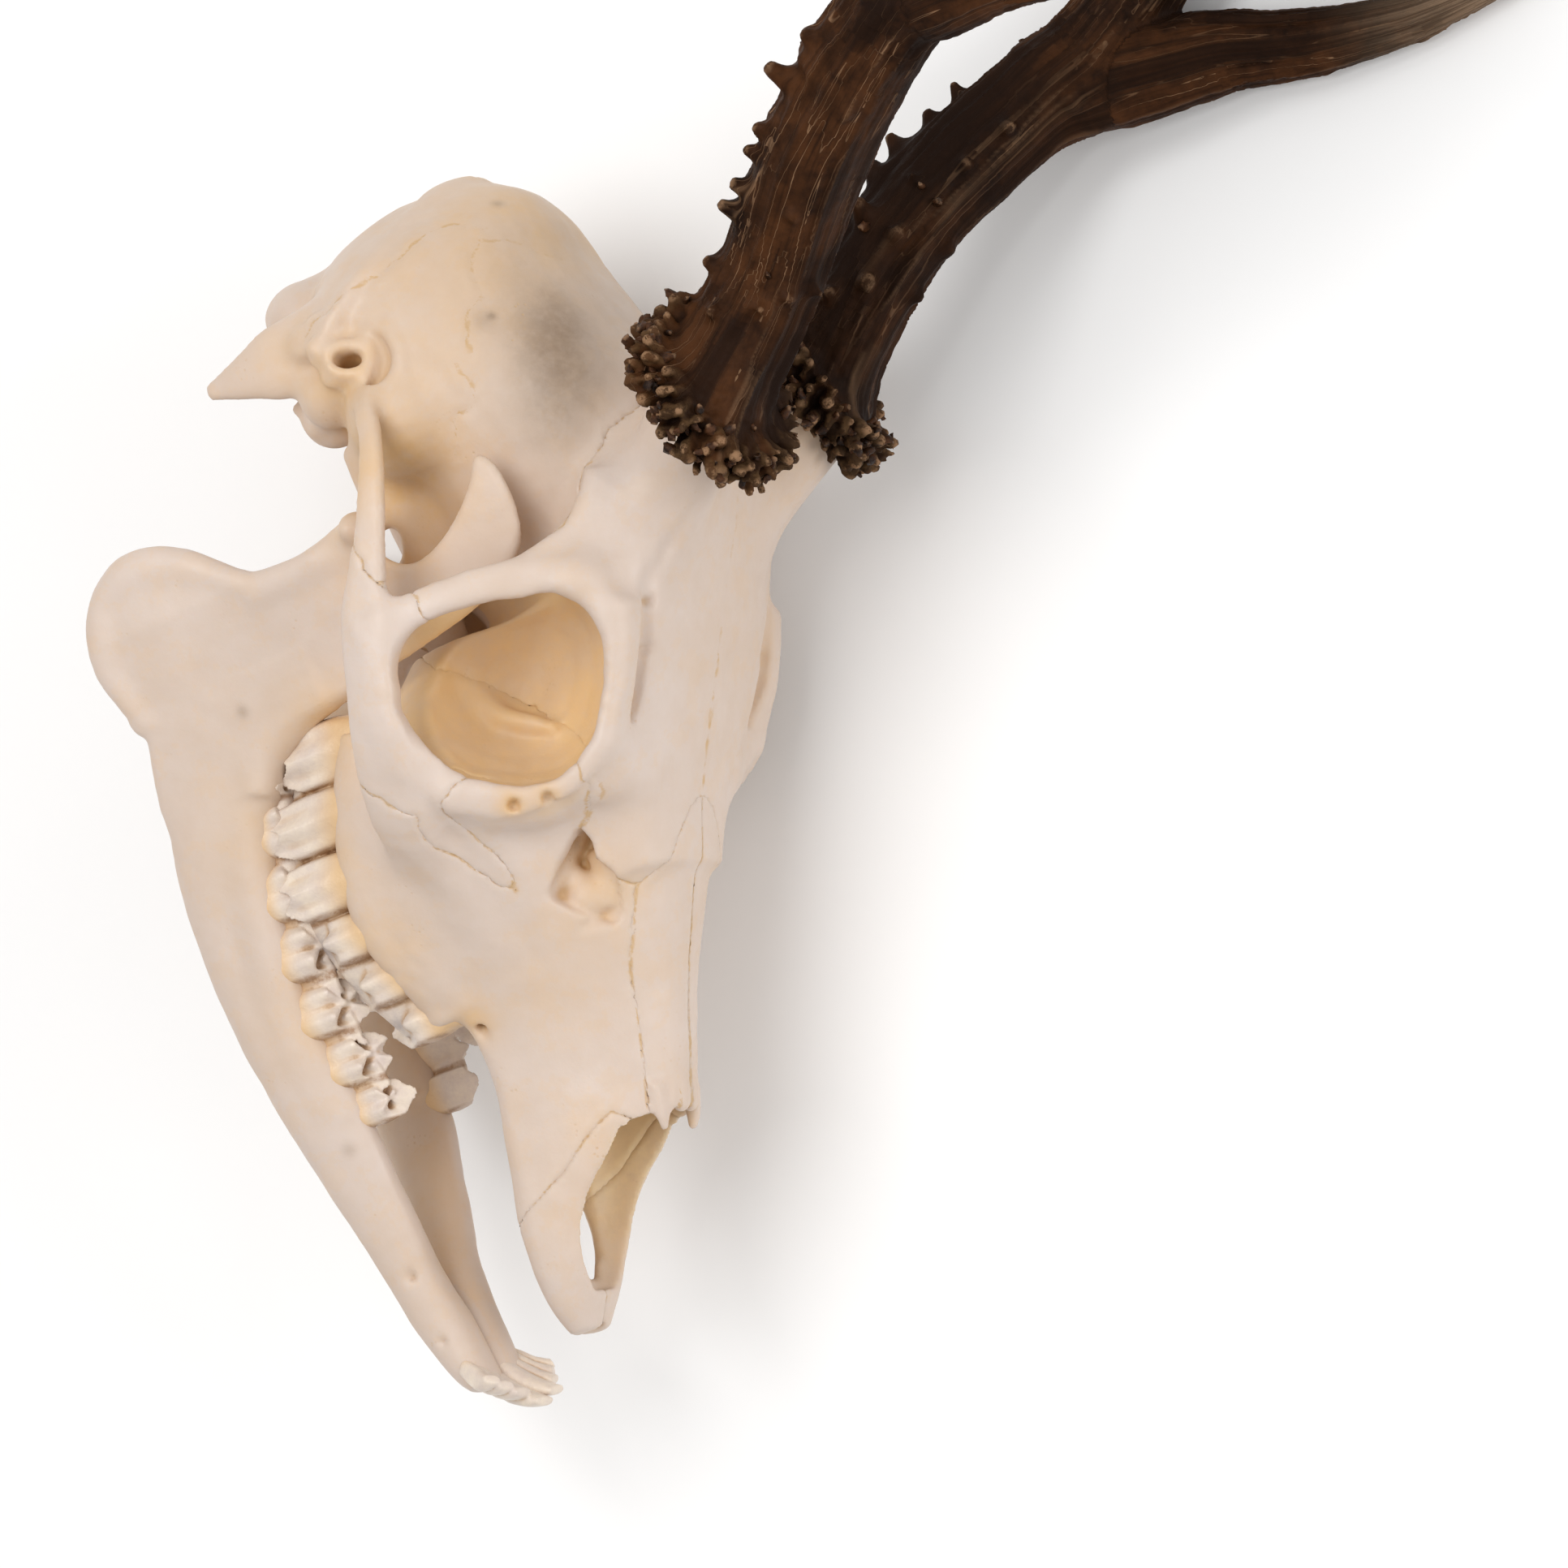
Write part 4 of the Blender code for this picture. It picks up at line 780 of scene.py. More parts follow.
def orbit_rim():
    """The flat lip of bone round the eye socket."""
    edge, out = orbit_ring(0, 1)
    c, s = round_the_clock(14)
    width = RIM_WIDTH * (1 - 0.5 * np.clip(out @ np.array(RIM_NARROWEST), 0, 1))[:, None]
    middle = edge + out * width * 0.82
    rings = middle[:, None] + (out * width)[:, None] * c[:, None] + ORBIT_LOOK * (s * RIM_HEIGHT)[:, None]
    return hoop(rings)


def orbit_hollow():
    """The eye socket, from outside the rim deep into the skull and a little backwards."""
    lean = np.array(ORBIT_LEAN)
    return skin([orbit_ring(depth, share)[0] + lean * max(0, -depth) for depth, share in ORBIT_WALL])


def to_right(values):
    """Places or ways of the left half brought to the right half."""
    return values * (np.sign(values[:, :1]) * (1, 0, 0) + (0, 1, 1))


def in_socket(points):
    """From 0 at the eye sockets' rims and outside them to 1 inside."""
    offset = to_right(points) - ORBIT_CENTRE
    depth = -(offset @ ORBIT_LOOK)
    beside = np.sqrt(np.maximum((offset**2).sum(-1) - depth**2, 0))
    within = np.clip((20.5 + 0.15 * depth - beside) / 2, 0, 1)
    return np.clip((depth - 0.5) / 4, 0, 1) * within * (depth < ORBIT_DEPTH + 6)


def prism(outline, low_x, high_x):
    """A plate with a side-view outline, given as (Y, Z) points, between two places along X."""
    rings = [[(x, y, z) for y, z in outline] for x in (low_x, high_x)]
    return skin(rings)


def gum_bar(teeth, up, wider, half_height):
    """The bar of bone that a row of cheek teeth stands in, that far up from their gum lines."""
    return bar([(row[1] - row[3], row[0], row[5] + up, row[3] + wider, half_height) for row in teeth])


def build_head(clay):
    """The braincase, the forehead, the muzzle, the skull's base and the slopes of the face."""
    clay.add(sections(BRAINCASE, 2.15), 6)
    clay.add(sections(FOREHEAD, 2.6), 5)
    clay.add(sections(MUZZLE, 2.35), 4)
    clay.add(bar(SKULL_BASE), 2)
    clay.add(orbit_rim(), 5.5)
    for edge in (BROW_EDGE, SOCKET_FRONT_EDGE):
        clay.add(rod(edge), 5)
    for slope in (CHEEK_SLOPE, LACRIMAL_SLOPE):
        clay.add(rod(slope), 6)
    clay.add(rod(RIM_SLOPE), 7)


def build_bars(clay):
    """The cheek arch, the bar behind the eye, the brow, the brain's side wall and the antler stalk."""
    clay.add(bar(CHEEK_BAR, power=3.2), 4)
    clay.add(bar(EYE_BAR, EYE_BAR_THIN), 3)
    clay.add(bar(SOCKET_FRONT_WALL), 3)
    clay.add(ball(*BROW_CORNER), 4)
    clay.add(bar(BRAIN_SIDE_WALL), 4)
    clay.add(rod(PEDICLE), 4)


def build_back(clay):
    """The crest, the long side spike, the wing behind the palate, the condyle and the bony ear capsule."""
    clay.add(bar(NUCHAL_CREST, (0, 1, 0)), 2)
    clay.add(bar(JUGULAR_PROCESS), 2)
    clay.add(bar(PTERYGOID), 1.5)
    clay.add(ball(*BRAIN_LOWER_SWELLING), 3)
    clay.add(ball(*CONDYLE), 1.2)
    clay.add(ball(*CONDYLE_EDGE), 2)
    clay.add(ball(*EAR_CAPSULE), 1.2)
    clay.add(ball(*EAR_CAPSULE_SIDE), 1.5)
    for spike in CAPSULE_SPIKES:
        clay.add(rod(spike), 1)


def build_ear(clay):
    clay.add(bar(EAR_TUBE, EAR_THIN), 2)
    for fillet, centre, radii in EAR_KNOBS:
        clay.add(ball(centre, radii), fillet)
    clay.add(rod(EAR_RIDGE), 1.4)


def build_tooth_sockets(clay):
    """The bone that the upper cheek teeth stand in, with the swellings over their roots."""
    clay.add(gum_bar(UPPER_TEETH, 5, 0.9, 6), 2.5)
    for y, x, z in ROOT_PLACES:
        for along in (1.6, -2.0):
            clay.add(ball((x - 1.8, y + along, z), ROOT_RADII), 1.6)


def hollow_out(clay):
    """Cuts the eye socket, the jaw's joint, the nose, the palate, the throat and the openings behind."""
    clay.carve(orbit_hollow(), 1.2)
    # The ridge across the socket's inner wall stands in the hollow
    clay.add(rod(SOCKET_RIDGE), 2.5)
    clay.carve(bar(JAW_JOINT_HOLLOW, JAW_JOINT_THIN), 0.8)
    clay.carve(sections(NASAL_PASSAGE, 2.4), 0.8)
    clay.carve(sections(PALATE_VAULT, 2.6), 2)
    clay.carve(ball(*SPINE_OPENING), 1)
    clay.carve(bar(THROAT_OPENING), 1.5)
    clay.carve(bar(EAR_OPENING, EAR_THIN), 0.5)
    clay.carve(rod(EAR_RIDGE_GROOVE), 0.4)
    clay.carve(bar(PALATE_FISSURE), 0.6)


def open_cheek_gap(clay):
    clay.carve(prism(VACUITY, *GAP_DEPTHS), 0.5)
    for fillet, *egg in GAP_BONE:
        clay.add(ball(*egg), fillet)
    for cleft in GAP_CLEFTS:
        clay.carve(rod(cleft), 0.4)
    clay.add(bar(GAP_SLIVER), 0.8)


def pierce_face(clay):
    """The tear canals, the brow's groove with its foramina, and the foramen before the cheek teeth."""
    for canal in TEAR_CANALS:
        clay.carve(rod(canal), 0.4)
    clay.carve(rod(BROW_GROOVE), 1.2)
    for centre, half_length in BROW_FORAMINA:
        clay.carve(ball(centre, (0.7, half_length, 2), (0.5, 0, 0.9)), 1)
    clay.carve(rod(FACE_FORAMEN), 1.2)


def line_nose(clay):
    """The wall and the curled bones inside the nose, on both sides of a mirrored cranium."""
    clay.add(bar(NOSE_WALL), 0.8)
    for _, sign in SIDES:
        for fillet, rows in CURLED_BONES:
            clay.add(bar([(sign * x, *rest) for x, *rest in rows]), fillet)


def sculpt_cranium(step):
    """The cranium: its right half, mirrored, and then what is on the middle or on one side only."""
    clay = Clay((0, -203, -16), (50, 5, 95), step)
    for build in (build_head, build_bars, build_back, build_ear, build_tooth_sockets):
        build(clay)
    for cut in (hollow_out, open_cheek_gap, pierce_face):
        cut(clay)
    for point in NASAL_POINTS:
        clay.add(bar(point), 1)
    clay.mirror()
    line_nose(clay)
    clay.carve(bar(PALATE_SLIT, CAMERA_RIGHT), 0.4)
    clay.carve(rod(TIP_NOTCH), 0.4)
    clay.smooth(1)
    return clay


def bone_territories(clay):
    """For each bone of the cranium, a field that is negative where the bone is."""
    x, y, z = clay.axes()
    out = np.abs(x)
    behind = side_of_path(CORONAL, y, z) + zigzag(y, z, 0.55, 3)
    above = side_of_path(BROW, y, z) + zigzag(y, z, 0.35, 5)
    ahead = side_of_path(PREMAXILLA, y, z) + zigzag(y, z, 0.12, 7)
    cheek = inside_outline(JUGAL, y, z) + zigzag(y, z, 0.45, 9)
    levels, depths = np.array(JUGAL_INSIDE[::-1]).T
    cheek = np.maximum(cheek, np.interp(y, levels, depths) - out)
    floor = np.interp(y, *np.array(NASAL_FLOOR).T)
    nasal = np.maximum(inside_outline(NASAL_HALF, out, y), floor - z)
    front = -behind
    bones = {
        "braincase": np.maximum(-behind, -cheek),
        "forehead": np.maximum(np.maximum(-above, -front), np.maximum(-cheek, -nasal)),
        "upper_jaw": np.maximum(np.maximum(above, -front), np.maximum(np.maximum(-ahead, -cheek), -nasal)),
        "nasal_bone": nasal,
        "premaxilla": np.maximum(ahead, -nasal),
        "cheek_bone": cheek,
    }
    return bones, x


def jaw_plate_field(clay):
    """The lower jaw's thin rear plate: an outline from the side, leaning outwards, with round edges."""
    x, y, z = clay.axes()
    outline = inside_outline(smooth_path(JAW_PLATE + JAW_PLATE[:1], 4)[:-1], y, z)
    middle = np.minimum(26 + (-106 - y) * 0.24, 34) - np.maximum(0, z - 10) * 0.09
    half = JAW_PLATE_HALF_THICKNESS + 0.9 * np.exp(-(((z + 24) / 9) ** 2))
    half = half - 0.4 * np.clip((z - 5) / 30, 0, 1)
    across = np.abs(x - middle) - half
    beyond = np.hypot(np.maximum(outline + JAW_PLATE_EDGE, 0), np.maximum(across + JAW_PLATE_EDGE, 0))
    return np.maximum(beyond - JAW_PLATE_EDGE, np.maximum(outline, across)).astype(np.float32)


def sculpt_jaw(step):
    """The right half of the lower jaw, without its teeth."""
    clay = Clay((-1, -157, -46), (45, 13, 52), step)
    across, up = round_the_clock(36, 2.4)
    rings = []
    for y, middle, half, top, bottom in smooth_path(JAW_BODY, 4):
        heights = (top + bottom) / 2 + (top - bottom) / 2 * up
        rings.append(np.stack((middle + half * across, np.full(36, y), heights), -1))
    clay.add(skin(rings))
    clay.field = melt(clay.field, jaw_plate_field(clay), 3)
    clay.add(ball(*JAW_CONDYLE), 2)
    clay.add(rod(JAW_NECK), 3)
    clay.add(rod(JAW_ANGLE_BORDER), 3)
    clay.add(gum_bar(LOWER_TEETH, -3.2, 0.8, 4), 2.5)
    clay.add(bar(JAW_FRONT_RIDGE), 2)
    clay.carve(rod(CHIN_FORAMEN), 0.5)
    clay.carve(rod(CHIN_FORAMEN_SMALL), 0.4)
    clay.smooth(1)
    return clay


def cheek_tooth(row, cheek_relief, tongue_relief):
    """A ridged column with a squared outline, whose cusps stand between its ribs."""
    y, outer_x, half_length, half_width, lobes, gum, edge, slope = row
    u, v = round_the_clock(72, 2.9)
    rib = np.cos(2 * np.pi * u)
    cusp = (1 - rib) / 2 if lobes == 2 else (1 + np.cos(np.pi * u)) / 2
    relief = np.where(v > 0, cheek_relief, tongue_relief) * rib * np.sqrt(np.abs(v))
    rings = []
    for level in CROWN_LEVELS:
        along = 0.93 + 0.07 * math.sin(math.pi * min(max(level + 0.1, 0), 1)) - (0.12 if level < 0 else 0)
        wall = 1 + relief * min(max(level + 0.15, 0), 1)
        height = level + (slope * v - 0.26 * (1 - cusp)) * max(level, 0) ** 2
        x = outer_x - half_width + half_width * v * wall * (1 - 0.1 * level)
        rings.append(np.stack((x, y + half_length * u * along, gum + (edge - gum) * height), -1))
    return skin(rings)


def tooth_pits(row, bow):
    """The crescent pits between a tooth's cusps: bent rods that bow to the cheek if bow is positive."""
    y, outer_x, half_length, half_width, lobes, gum, edge, slope = row
    x = outer_x - half_width
    share = half_length / lobes
    high = edge - gum
    sink = PIT_DEPTH * np.sign(high)
    pits = []
    for lobe in range(lobes):
        middle = y - half_length + share * (2 * lobe + 1)
        bend = []
        for along, level, radius in PIT_BEND:
            across = bow * (0.32 - 0.9 * along * along) - 0.08
            top = edge - 0.1 * high + slope * across * high
            bend.append((x + across * half_width, middle + along * share, top - sink * level, radius))
        pits.append(rod(bend, sides=12))
    return pits


def tartar_bar(teeth):
    """The bone and tartar between a row's teeth."""
    rows = []
    for y, outer_x, _, half_width, _, gum, edge, _ in teeth:
        middle = gum * 0.6 + edge * 0.4
        rows.append((outer_x - half_width * 1.1, y, middle, half_width * 0.5, abs(gum - edge) * 0.5))
    return bar(rows)


def sculpt_teeth(teeth, step, cheek_relief, tongue_relief, bow):
    """A row of cheek teeth of the right side."""
    places = np.array([(row[1] - row[3], row[0], (row[5] + row[6]) / 2) for row in teeth])
    clay = Clay(places.min(0) - (9, 10, 11), places.max(0) + (9, 10, 11), step)
    for row in teeth:
        clay.add(cheek_tooth(row, cheek_relief, tongue_relief))
    clay.add(tartar_bar(teeth))
    for row in teeth:
        for pit in tooth_pits(row, bow):
            clay.carve(pit, 0.5)
    return clay


def sculpt_front_teeth(step):
    """The right side's four front teeth, each narrower than the last, fanned out and leaning forward."""
    clay = Clay((-1, -4, -30), (20, 16, -10), step)
    x = 0.3
    for width in FRONT_TOOTH_WIDTHS:
        x += width / 2
        root = np.array((x * 0.58, 3.4 - x * 0.12, -22.2))
        tip = np.array((x * 0.78, 11.6 - x * 0.5, -12 - x * 0.34))
        rows = []
        for share, breadth, thick in FRONT_TOOTH_RINGS:
            bow = np.array((0, 1.1, 0)) * math.sin(math.pi * share)
            rows.append((*(root + (tip - root) * share + bow), thick, breadth * width / 2))
        clay.add(bar(rows, np.cross(unit(tip - root), (1, 0, 0)), 2.5))
        x += width / 2
    return clay


def tine_path(shift, share):
    """The front tine's path with its outer part moved, and its thickness scaled by a share."""
    moved = [
        (x + shift[0], y + shift[1], z + shift[2], radius * share) for x, y, z, radius in FRONT_TINE[1:]
    ]
    return [FRONT_TINE[0]] + moved


def add_coronet(clay, spread, seed):
    """The ring of knobs at an antler's foot, wider towards spread."""
    turn = turned_to(CORONET_AXIS)
    core = CORONET_RADIUS - 2.5
    clay.add(ball(CORONET_CENTRE, (core, core, CORONET_THICKNESS), CORONET_AXIS, 32), 3)
    chance = np.random.RandomState(seed)
    for knob in range(CORONET_KNOBS):
        angle = math.tau * (knob + chance.uniform(-0.4, 0.4)) / CORONET_KNOBS
        level = (-1.2, -0.4, 0.4, 1.2)[knob % 4] * 0.8 + chance.uniform(-0.25, 0.25)
        out = turn @ np.array((math.cos(angle), math.sin(angle), 0))
        wider = max(0.0, float(np.dot(out, spread)))
        reach = CORONET_RADIUS + 1.0 + wider - 1.4 * abs(level) + chance.uniform(-1.3, 1.5)
        thick = chance.uniform(0.8, 1.4)
        rise = CORONET_AXIS * level * 2.8
        start = CORONET_CENTRE + out * (CORONET_RADIUS - 6 + wider * 0.5) + rise * 0.8
        bend = CORONET_CENTRE + out * (reach - 1.5) + rise * 1.2
        tip = CORONET_CENTRE + out * reach + rise * 1.5 + CORONET_AXIS * 0.6
        clay.add(rod([(*start, thick * 1.2), (*bend, thick), (*tip, thick * 0.62)], sides=12), 0.7)


def add_spikes(clay, spikes, swelling, sign):
    """The swelling along the beam and its large pearls, placed as the photo's camera sees that antler."""
    path = smooth_path(BEAM, ANTLER_STEPS)
    left, near = np.array(PHOTO_LEFT) * (sign, 1, 1), np.array(TO_CAMERA) * (sign, 1, 1)
    if swelling:
        spots = [(path[int(place * ANTLER_STEPS)], radius) for place, radius in swelling]
        clay.add(rod([(*(spot[:3] + left * spot[3] * 0.8), radius) for spot, radius in spots]), 3)
    for place, turn, length in spikes:
        step = int(place * ANTLER_STEPS)
        spot = path[step]
        along = unit(path[step + 1][:3] - spot[:3])
        way = left * math.cos(math.radians(turn)) + near * math.sin(math.radians(turn))
        way = unit(way - along * np.dot(way, along))
        foot = spot[:3] + way * (spot[3] - 2)
        top = spot[:3] + way * (spot[3] + length)
        middle = foot + (top - foot) * 0.6
        hook = top + along * length * 0.18
        thick = 0.75 + 0.12 * length
        clay.add(rod([(*foot, thick * 2.6), (*middle, thick * 1.35), (*hook, thick * 0.85)], sides=14), 1.6)


def sculpt_antler(step, sign, tine, spikes, swelling, spread, seed):
    """An antler with its coronet, large pearls and swelling; sign is that of its side's X."""
    clay = Clay((0, -246, 76), (66, -116, 248), step)
    clay.add(rod(BEAM, sides=32))
    clay.add(rod(tine, sides=28), 3)
    clay.add(rod(REAR_TINE), 3)
    add_coronet(clay, spread, seed)
    add_spikes(clay, spikes, swelling, sign)
    clay.smooth(1)
    return clay


# ---------------------------------------------------------------- surfaces


def turned_out(points, faces):
    """The faces of a closed mesh, all turned round if they faced inwards."""
    a = points[faces[:, 0]]
    b = points[faces[:, 2]]
    c = points[faces[:, 1]] - points[faces[:, -1]]
    volume = np.einsum("ij,ij->i", np.cross(a, b), c).sum()
    return faces if volume < 0 else faces[:, ::-1]


def outward(points, faces):
    """The way the surface faces at each point."""
    facing = np.cross(points[faces[:, 2]] - points[faces[:, 0]], points[faces[:, -1]] - points[faces[:, 1]])
    corners = faces.ravel()
    spread = [np.bincount(corners, np.repeat(facing[:, i], faces.shape[1]), len(points)) for i in range(3)]
    return unit(np.stack(spread, -1) + 1e-9)


def distance_to_line(points, line, facing):
    """How far each point is from a line of points in space, hardly counting what lies along facing."""
    best = np.full(len(points), 400.0)
    for start, end in zip(line, line[1:]):
        way = end - start
        share = np.clip((points - start) @ way / (way @ way), 0, 1)
        offset = points - start - share[:, None] * way
        upright = (offset * facing).sum(-1)
        flat = (offset**2).sum(-1) - 0.98 * upright**2 + 40 * (np.abs(upright) > 4)
        best = np.minimum(best, flat)
    return np.sqrt(np.maximum(best, 0))


def seam_distance(points, facing):
    """How far each point is, along the surface, from the jagged sutures that only mark the surface."""
    jagged = to_right(points)
    for axis in range(3):
        jagged[:, axis] += 0.5 * noise(points, 1.5, 31 + axis) + 0.5 * noise(points, 3.6, 41 + axis)
    best = np.full(len(points), NO_SEAM)
    upright = facing * (np.sign(points[:, :1]) * (1, 0, 0) + (0, 1, 1))
    for line in SURFACE_SEAMS.values():
        line = smooth_path(line, 3)
        near = np.all((jagged > line.min(0) - 4) & (jagged < line.max(0) + 4), axis=1)
        best[near] = np.minimum(best[near], distance_to_line(jagged[near], line, upright[near]))
    return best


def patches(points, spots):
    """The sum of soft round patches at the points, the same on both sides."""
    total = np.zeros(len(points))
    beside = np.abs(points[:, 0])
    for x, y, z, reach, strength in spots:
        away = (beside - x) ** 2 + (points[:, 1] - y) ** 2 + (points[:, 2] - z) ** 2
        total += strength * np.exp(-away / reach**2)
    return np.clip(total, 0, 1)


def weathered(points, faces, seam):
    """Bone points moved in or out for soft swellings, and in along the seams."""
    swell = 0.20 * noise(points, 12, 51) + 0.11 * noise(points, 4.5, 53) + 0.04 * noise(points, 1.8, 55)
    groove = 0.13 * np.exp(-((seam / 0.35) ** 2)) - 0.05 * np.exp(-(((seam - 1.1) / 0.5) ** 2))
    knobs = 0.5 * patches(points, ROUGH_PLACES) * noise(points, 2.3, 57)
    return points + outward(points, faces) * (swell + knobs - groove)[:, None]


def make_piece(name, points, faces, finish, nodes, marks):
    """A finished piece from points in the skull's frame, with a number at each point for each mark."""
    faces = turned_out(points, faces)
    matrix = np.array(laid_down())
    placed = points @ matrix[:3, :3].T + matrix[:3, 3]
    placed[:, 2] = np.maximum(placed[:, 2], FLOOR_CLEARANCE)
    sides = faces.shape[1]
    mesh = bpy.data.meshes.new(name)
    mesh.vertices.add(len(placed))
    mesh.vertices.foreach_set("co", placed.astype(np.float32).ravel())
    mesh.loops.add(faces.size)
    mesh.loops.foreach_set("vertex_index", faces.astype(np.int32).ravel())
    mesh.polygons.add(len(faces))
    mesh.polygons.foreach_set("loop_start", np.arange(len(faces), dtype=np.int32) * sides)
    mesh.polygons.foreach_set("use_smooth", np.ones(len(faces), bool))
    mesh.update(calc_edges=True)
    for label, values in marks.items():
        kind, field = ("FLOAT_VECTOR", "vector") if values.ndim == 2 else ("FLOAT", "value")
        layer = mesh.attributes.new(label, kind, "POINT")
        layer.data.foreach_set(field, values.astype(np.float32).ravel())
    mesh.materials.append(finish)
    piece = bpy.data.objects.new(name, mesh)
    bpy.context.scene.collection.objects.link(piece)
    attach(piece, "root")
    if nodes:
        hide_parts(*nodes)
    return piece


def bone_marks(points, facing, seam, clay):
    """The numbers at each point of a bone that its finish reads."""
    inner = np.clip(-facing[:, 0] * np.sign(points[:, 0]), 0, 1) * (np.abs(points[:, 0]) > 1)
    socket = in_socket(points)
    return {
        "seam": seam + 5 * socket + 4 * inner,
        # how enclosed each point is, which the finish paints as shade and warm bounce light in hollows
        "recess": clay.about(points, 5),
        # how enclosed each point is on a fine scale, which the finish paints as shade in creases
        "crease": clay.about(points, 2),
        # grey smudges, and painted shade low in the hollow behind the eye socket
        "smudge": patches(points, GREY_SMUDGES_AND_SHADE) * (1 - inner),
        # golden stain and painted warm shade, also in the eye sockets and on the faces turned inwards
        "warm": np.clip(np.maximum(patches(points, GOLDEN_STAIN_AND_SHADE_PLACES) + 0.45 * inner, socket), 0, 1),
        "thin": np.clip(np.maximum(inner * patches(points, THIN_PLACES), 0.3 * socket), 0, 1),
    }


def run_coordinates(points, rows, steps=5):
    """For points about a run of an antler: a grain place that is drawn out along the run, how far along it
    each point is from 0 to 1, and how far it is outside the run."""
    path = smooth_path(rows, steps)
    nearest = np.zeros(len(points), int)
    best = np.full(len(points), 1e9)
    for i, row in enumerate(path):
        away = np.sqrt(((points - row[:3]) ** 2).sum(-1)) - row[3]
        closer = away < best
        best[closer] = away[closer]
        nearest[closer] = i
    tangents = unit(np.gradient(path[:, :3], axis=0))
    lengths = np.concatenate(([0], np.cumsum(np.linalg.norm(np.diff(path[:, :3], axis=0), axis=1))))
    offset = points - path[nearest, :3]
    rise = (offset * tangents[nearest]).sum(-1)
    around = unit(offset - rise[:, None] * tangents[nearest] + 1e-6)
    along = lengths[nearest] + rise
    mean_way = unit(path[-1, :3] - path[0, :3])
    grain = around * 9 + mean_way * (along / 20)[:, None]
    return grain, along / lengths[-1], best


def tooth_places(teeth, points):
    """How far up its crown each point is, from 0 to 1, and how much it lies between two cheek teeth."""
    if not teeth:
        return (points[:, 1] + 2) / 6, np.zeros(len(points))
    table = np.array(sorted(teeth))
    gum, edge = (np.interp(points[:, 1], table[:, 0], table[:, column]) for column in (5, 6))
    beside = np.min([np.abs(points[:, 1] - row[0]) / row[2] for row in teeth], axis=0)
    return (points[:, 2] - gum) / (edge - gum), np.clip((beside - 0.8) / 0.12, 0, 1)


def worn_facets(teeth):
    """Grey patches of upper teeth: one on each premolar, and a faint one on each molar's lobe as painted
    shade.
    """
    grey_patch_spots = [(row[1] - 2.5, row[0], row[6] + 2, 3.0, 0.9) for row in teeth if row[4] == 1]
    for y, outer_x, half_length, _, lobes, _, edge, _ in teeth:
        if lobes == 2:
            grey_patch_spots += [(outer_x, y + end * half_length / 2, edge + 4, 1.6, 0.12) for end in (-1, 1)]
    return grey_patch_spots


def antler_surface(points, faces, tine, seed):
    """Grain, ridges and colour marks of an antler, and its points moved by the ridges."""
    runs = [run_coordinates(points, rows) for rows in (BEAM, tine[2:], REAR_TINE[1:])]
    weights = np.stack([np.exp(-np.maximum(run[2], 0) / 1.2) for run in runs])
    weights /= weights.sum(0)
    clear = np.clip(2 * weights.max(0) - 1, 0, 1)
    ridge = np.zeros(len(points))
    for weight, (grain, _, _) in zip(weights, runs):
        lines = 1 - 2 * np.abs(noise(grain, 3.1, seed)) - 0.9 * np.abs(noise(grain, 1.3, seed + 1))
        ridge += weight * (lines + 0.5 * noise(grain, 6.5, seed + 2))
    ridge = ridge * (0.4 + 0.6 * clear)
    main = np.argmax(weights, 0)
    grain = np.choose(main[:, None], [run[0] for run in runs])
    shares = [(run[1] - start) / (1 - start) for run, start in zip(runs, TIP_STARTS)]
    tip = np.clip(np.choose(main, shares), 0, 1)
    collar = (points - CORONET_CENTRE) @ CORONET_AXIS
    rough = np.clip(1.2 - np.abs(collar) / 9, 0, 1)
    shaft = np.clip((collar - 6) / 40, 0, 1)
    beside = np.linalg.norm(points - CORONET_CENTRE - collar[:, None] * CORONET_AXIS, axis=1)
    brim = rough * np.clip((beside - 10.5) / 6, 0, 1)
    pearly = np.clip(brim + 0.05 * (1 - shaft) * (collar > 0), 0, 1) * (collar > -4)
    depth = (0.75 - 0.35 * tip) * (1 - rough) + 0.3 * rough
    crust = rough * (0.5 * noise(points, 1.6, seed + 5) + 0.3 * noise(points, 0.9, seed + 6))
    crust += 0.16 * (1 - tip) * noise(points, 2.2, seed + 7)
    moved = points + outward(points, faces) * (depth * (ridge - 0.3) + crust)[:, None]
    marks = {"grain": grain, "ridge": ridge, "tip": tip, "pearly": pearly, "clear": clear, "brim": brim}
    return moved, marks


# ---------------------------------------------------------------- finishes


def feed(tree, node, inputs):
    """Gives a node's inputs, by name or number, values or links."""
    for name, value in inputs.items():
        if isinstance(value, bpy.types.NodeSocket):
            tree.links.new(value, node.inputs[name])
        else:
            node.inputs[name].default_value = value
    return node


def put(tree, kind, inputs=None, **settings):
    """Adds a node with its settings, and feeds its inputs."""
    node = tree.nodes.new(kind)
    for name, value in settings.items():
        setattr(node, name, value)
    return feed(tree, node, inputs or {})


def start_group(name, inputs, outputs):
    """A shader node group with (label, kind, default) inputs and (label, kind) outputs, and its ends."""
    tree = bpy.data.node_groups.new(name, "ShaderNodeTree")
    for label, kind, value in inputs:
        tree.interface.new_socket(label, in_out="INPUT", socket_type=kind).default_value = value
    for label, kind in outputs:
        tree.interface.new_socket(label, in_out="OUTPUT", socket_type=kind)
    return tree, tree.nodes.new("NodeGroupInput"), tree.nodes.new("NodeGroupOutput")


def ramp(tree, value, low, high, to_low=0.0, to_high=1.0):
    """The value brought smoothly from low..high to to_low..to_high."""
    inputs = {"Value": value, "From Min": low, "From Max": high, "To Min": to_low, "To Max": to_high}
    return put(tree, "ShaderNodeMapRange", inputs, interpolation_type="SMOOTHSTEP").outputs["Result"]


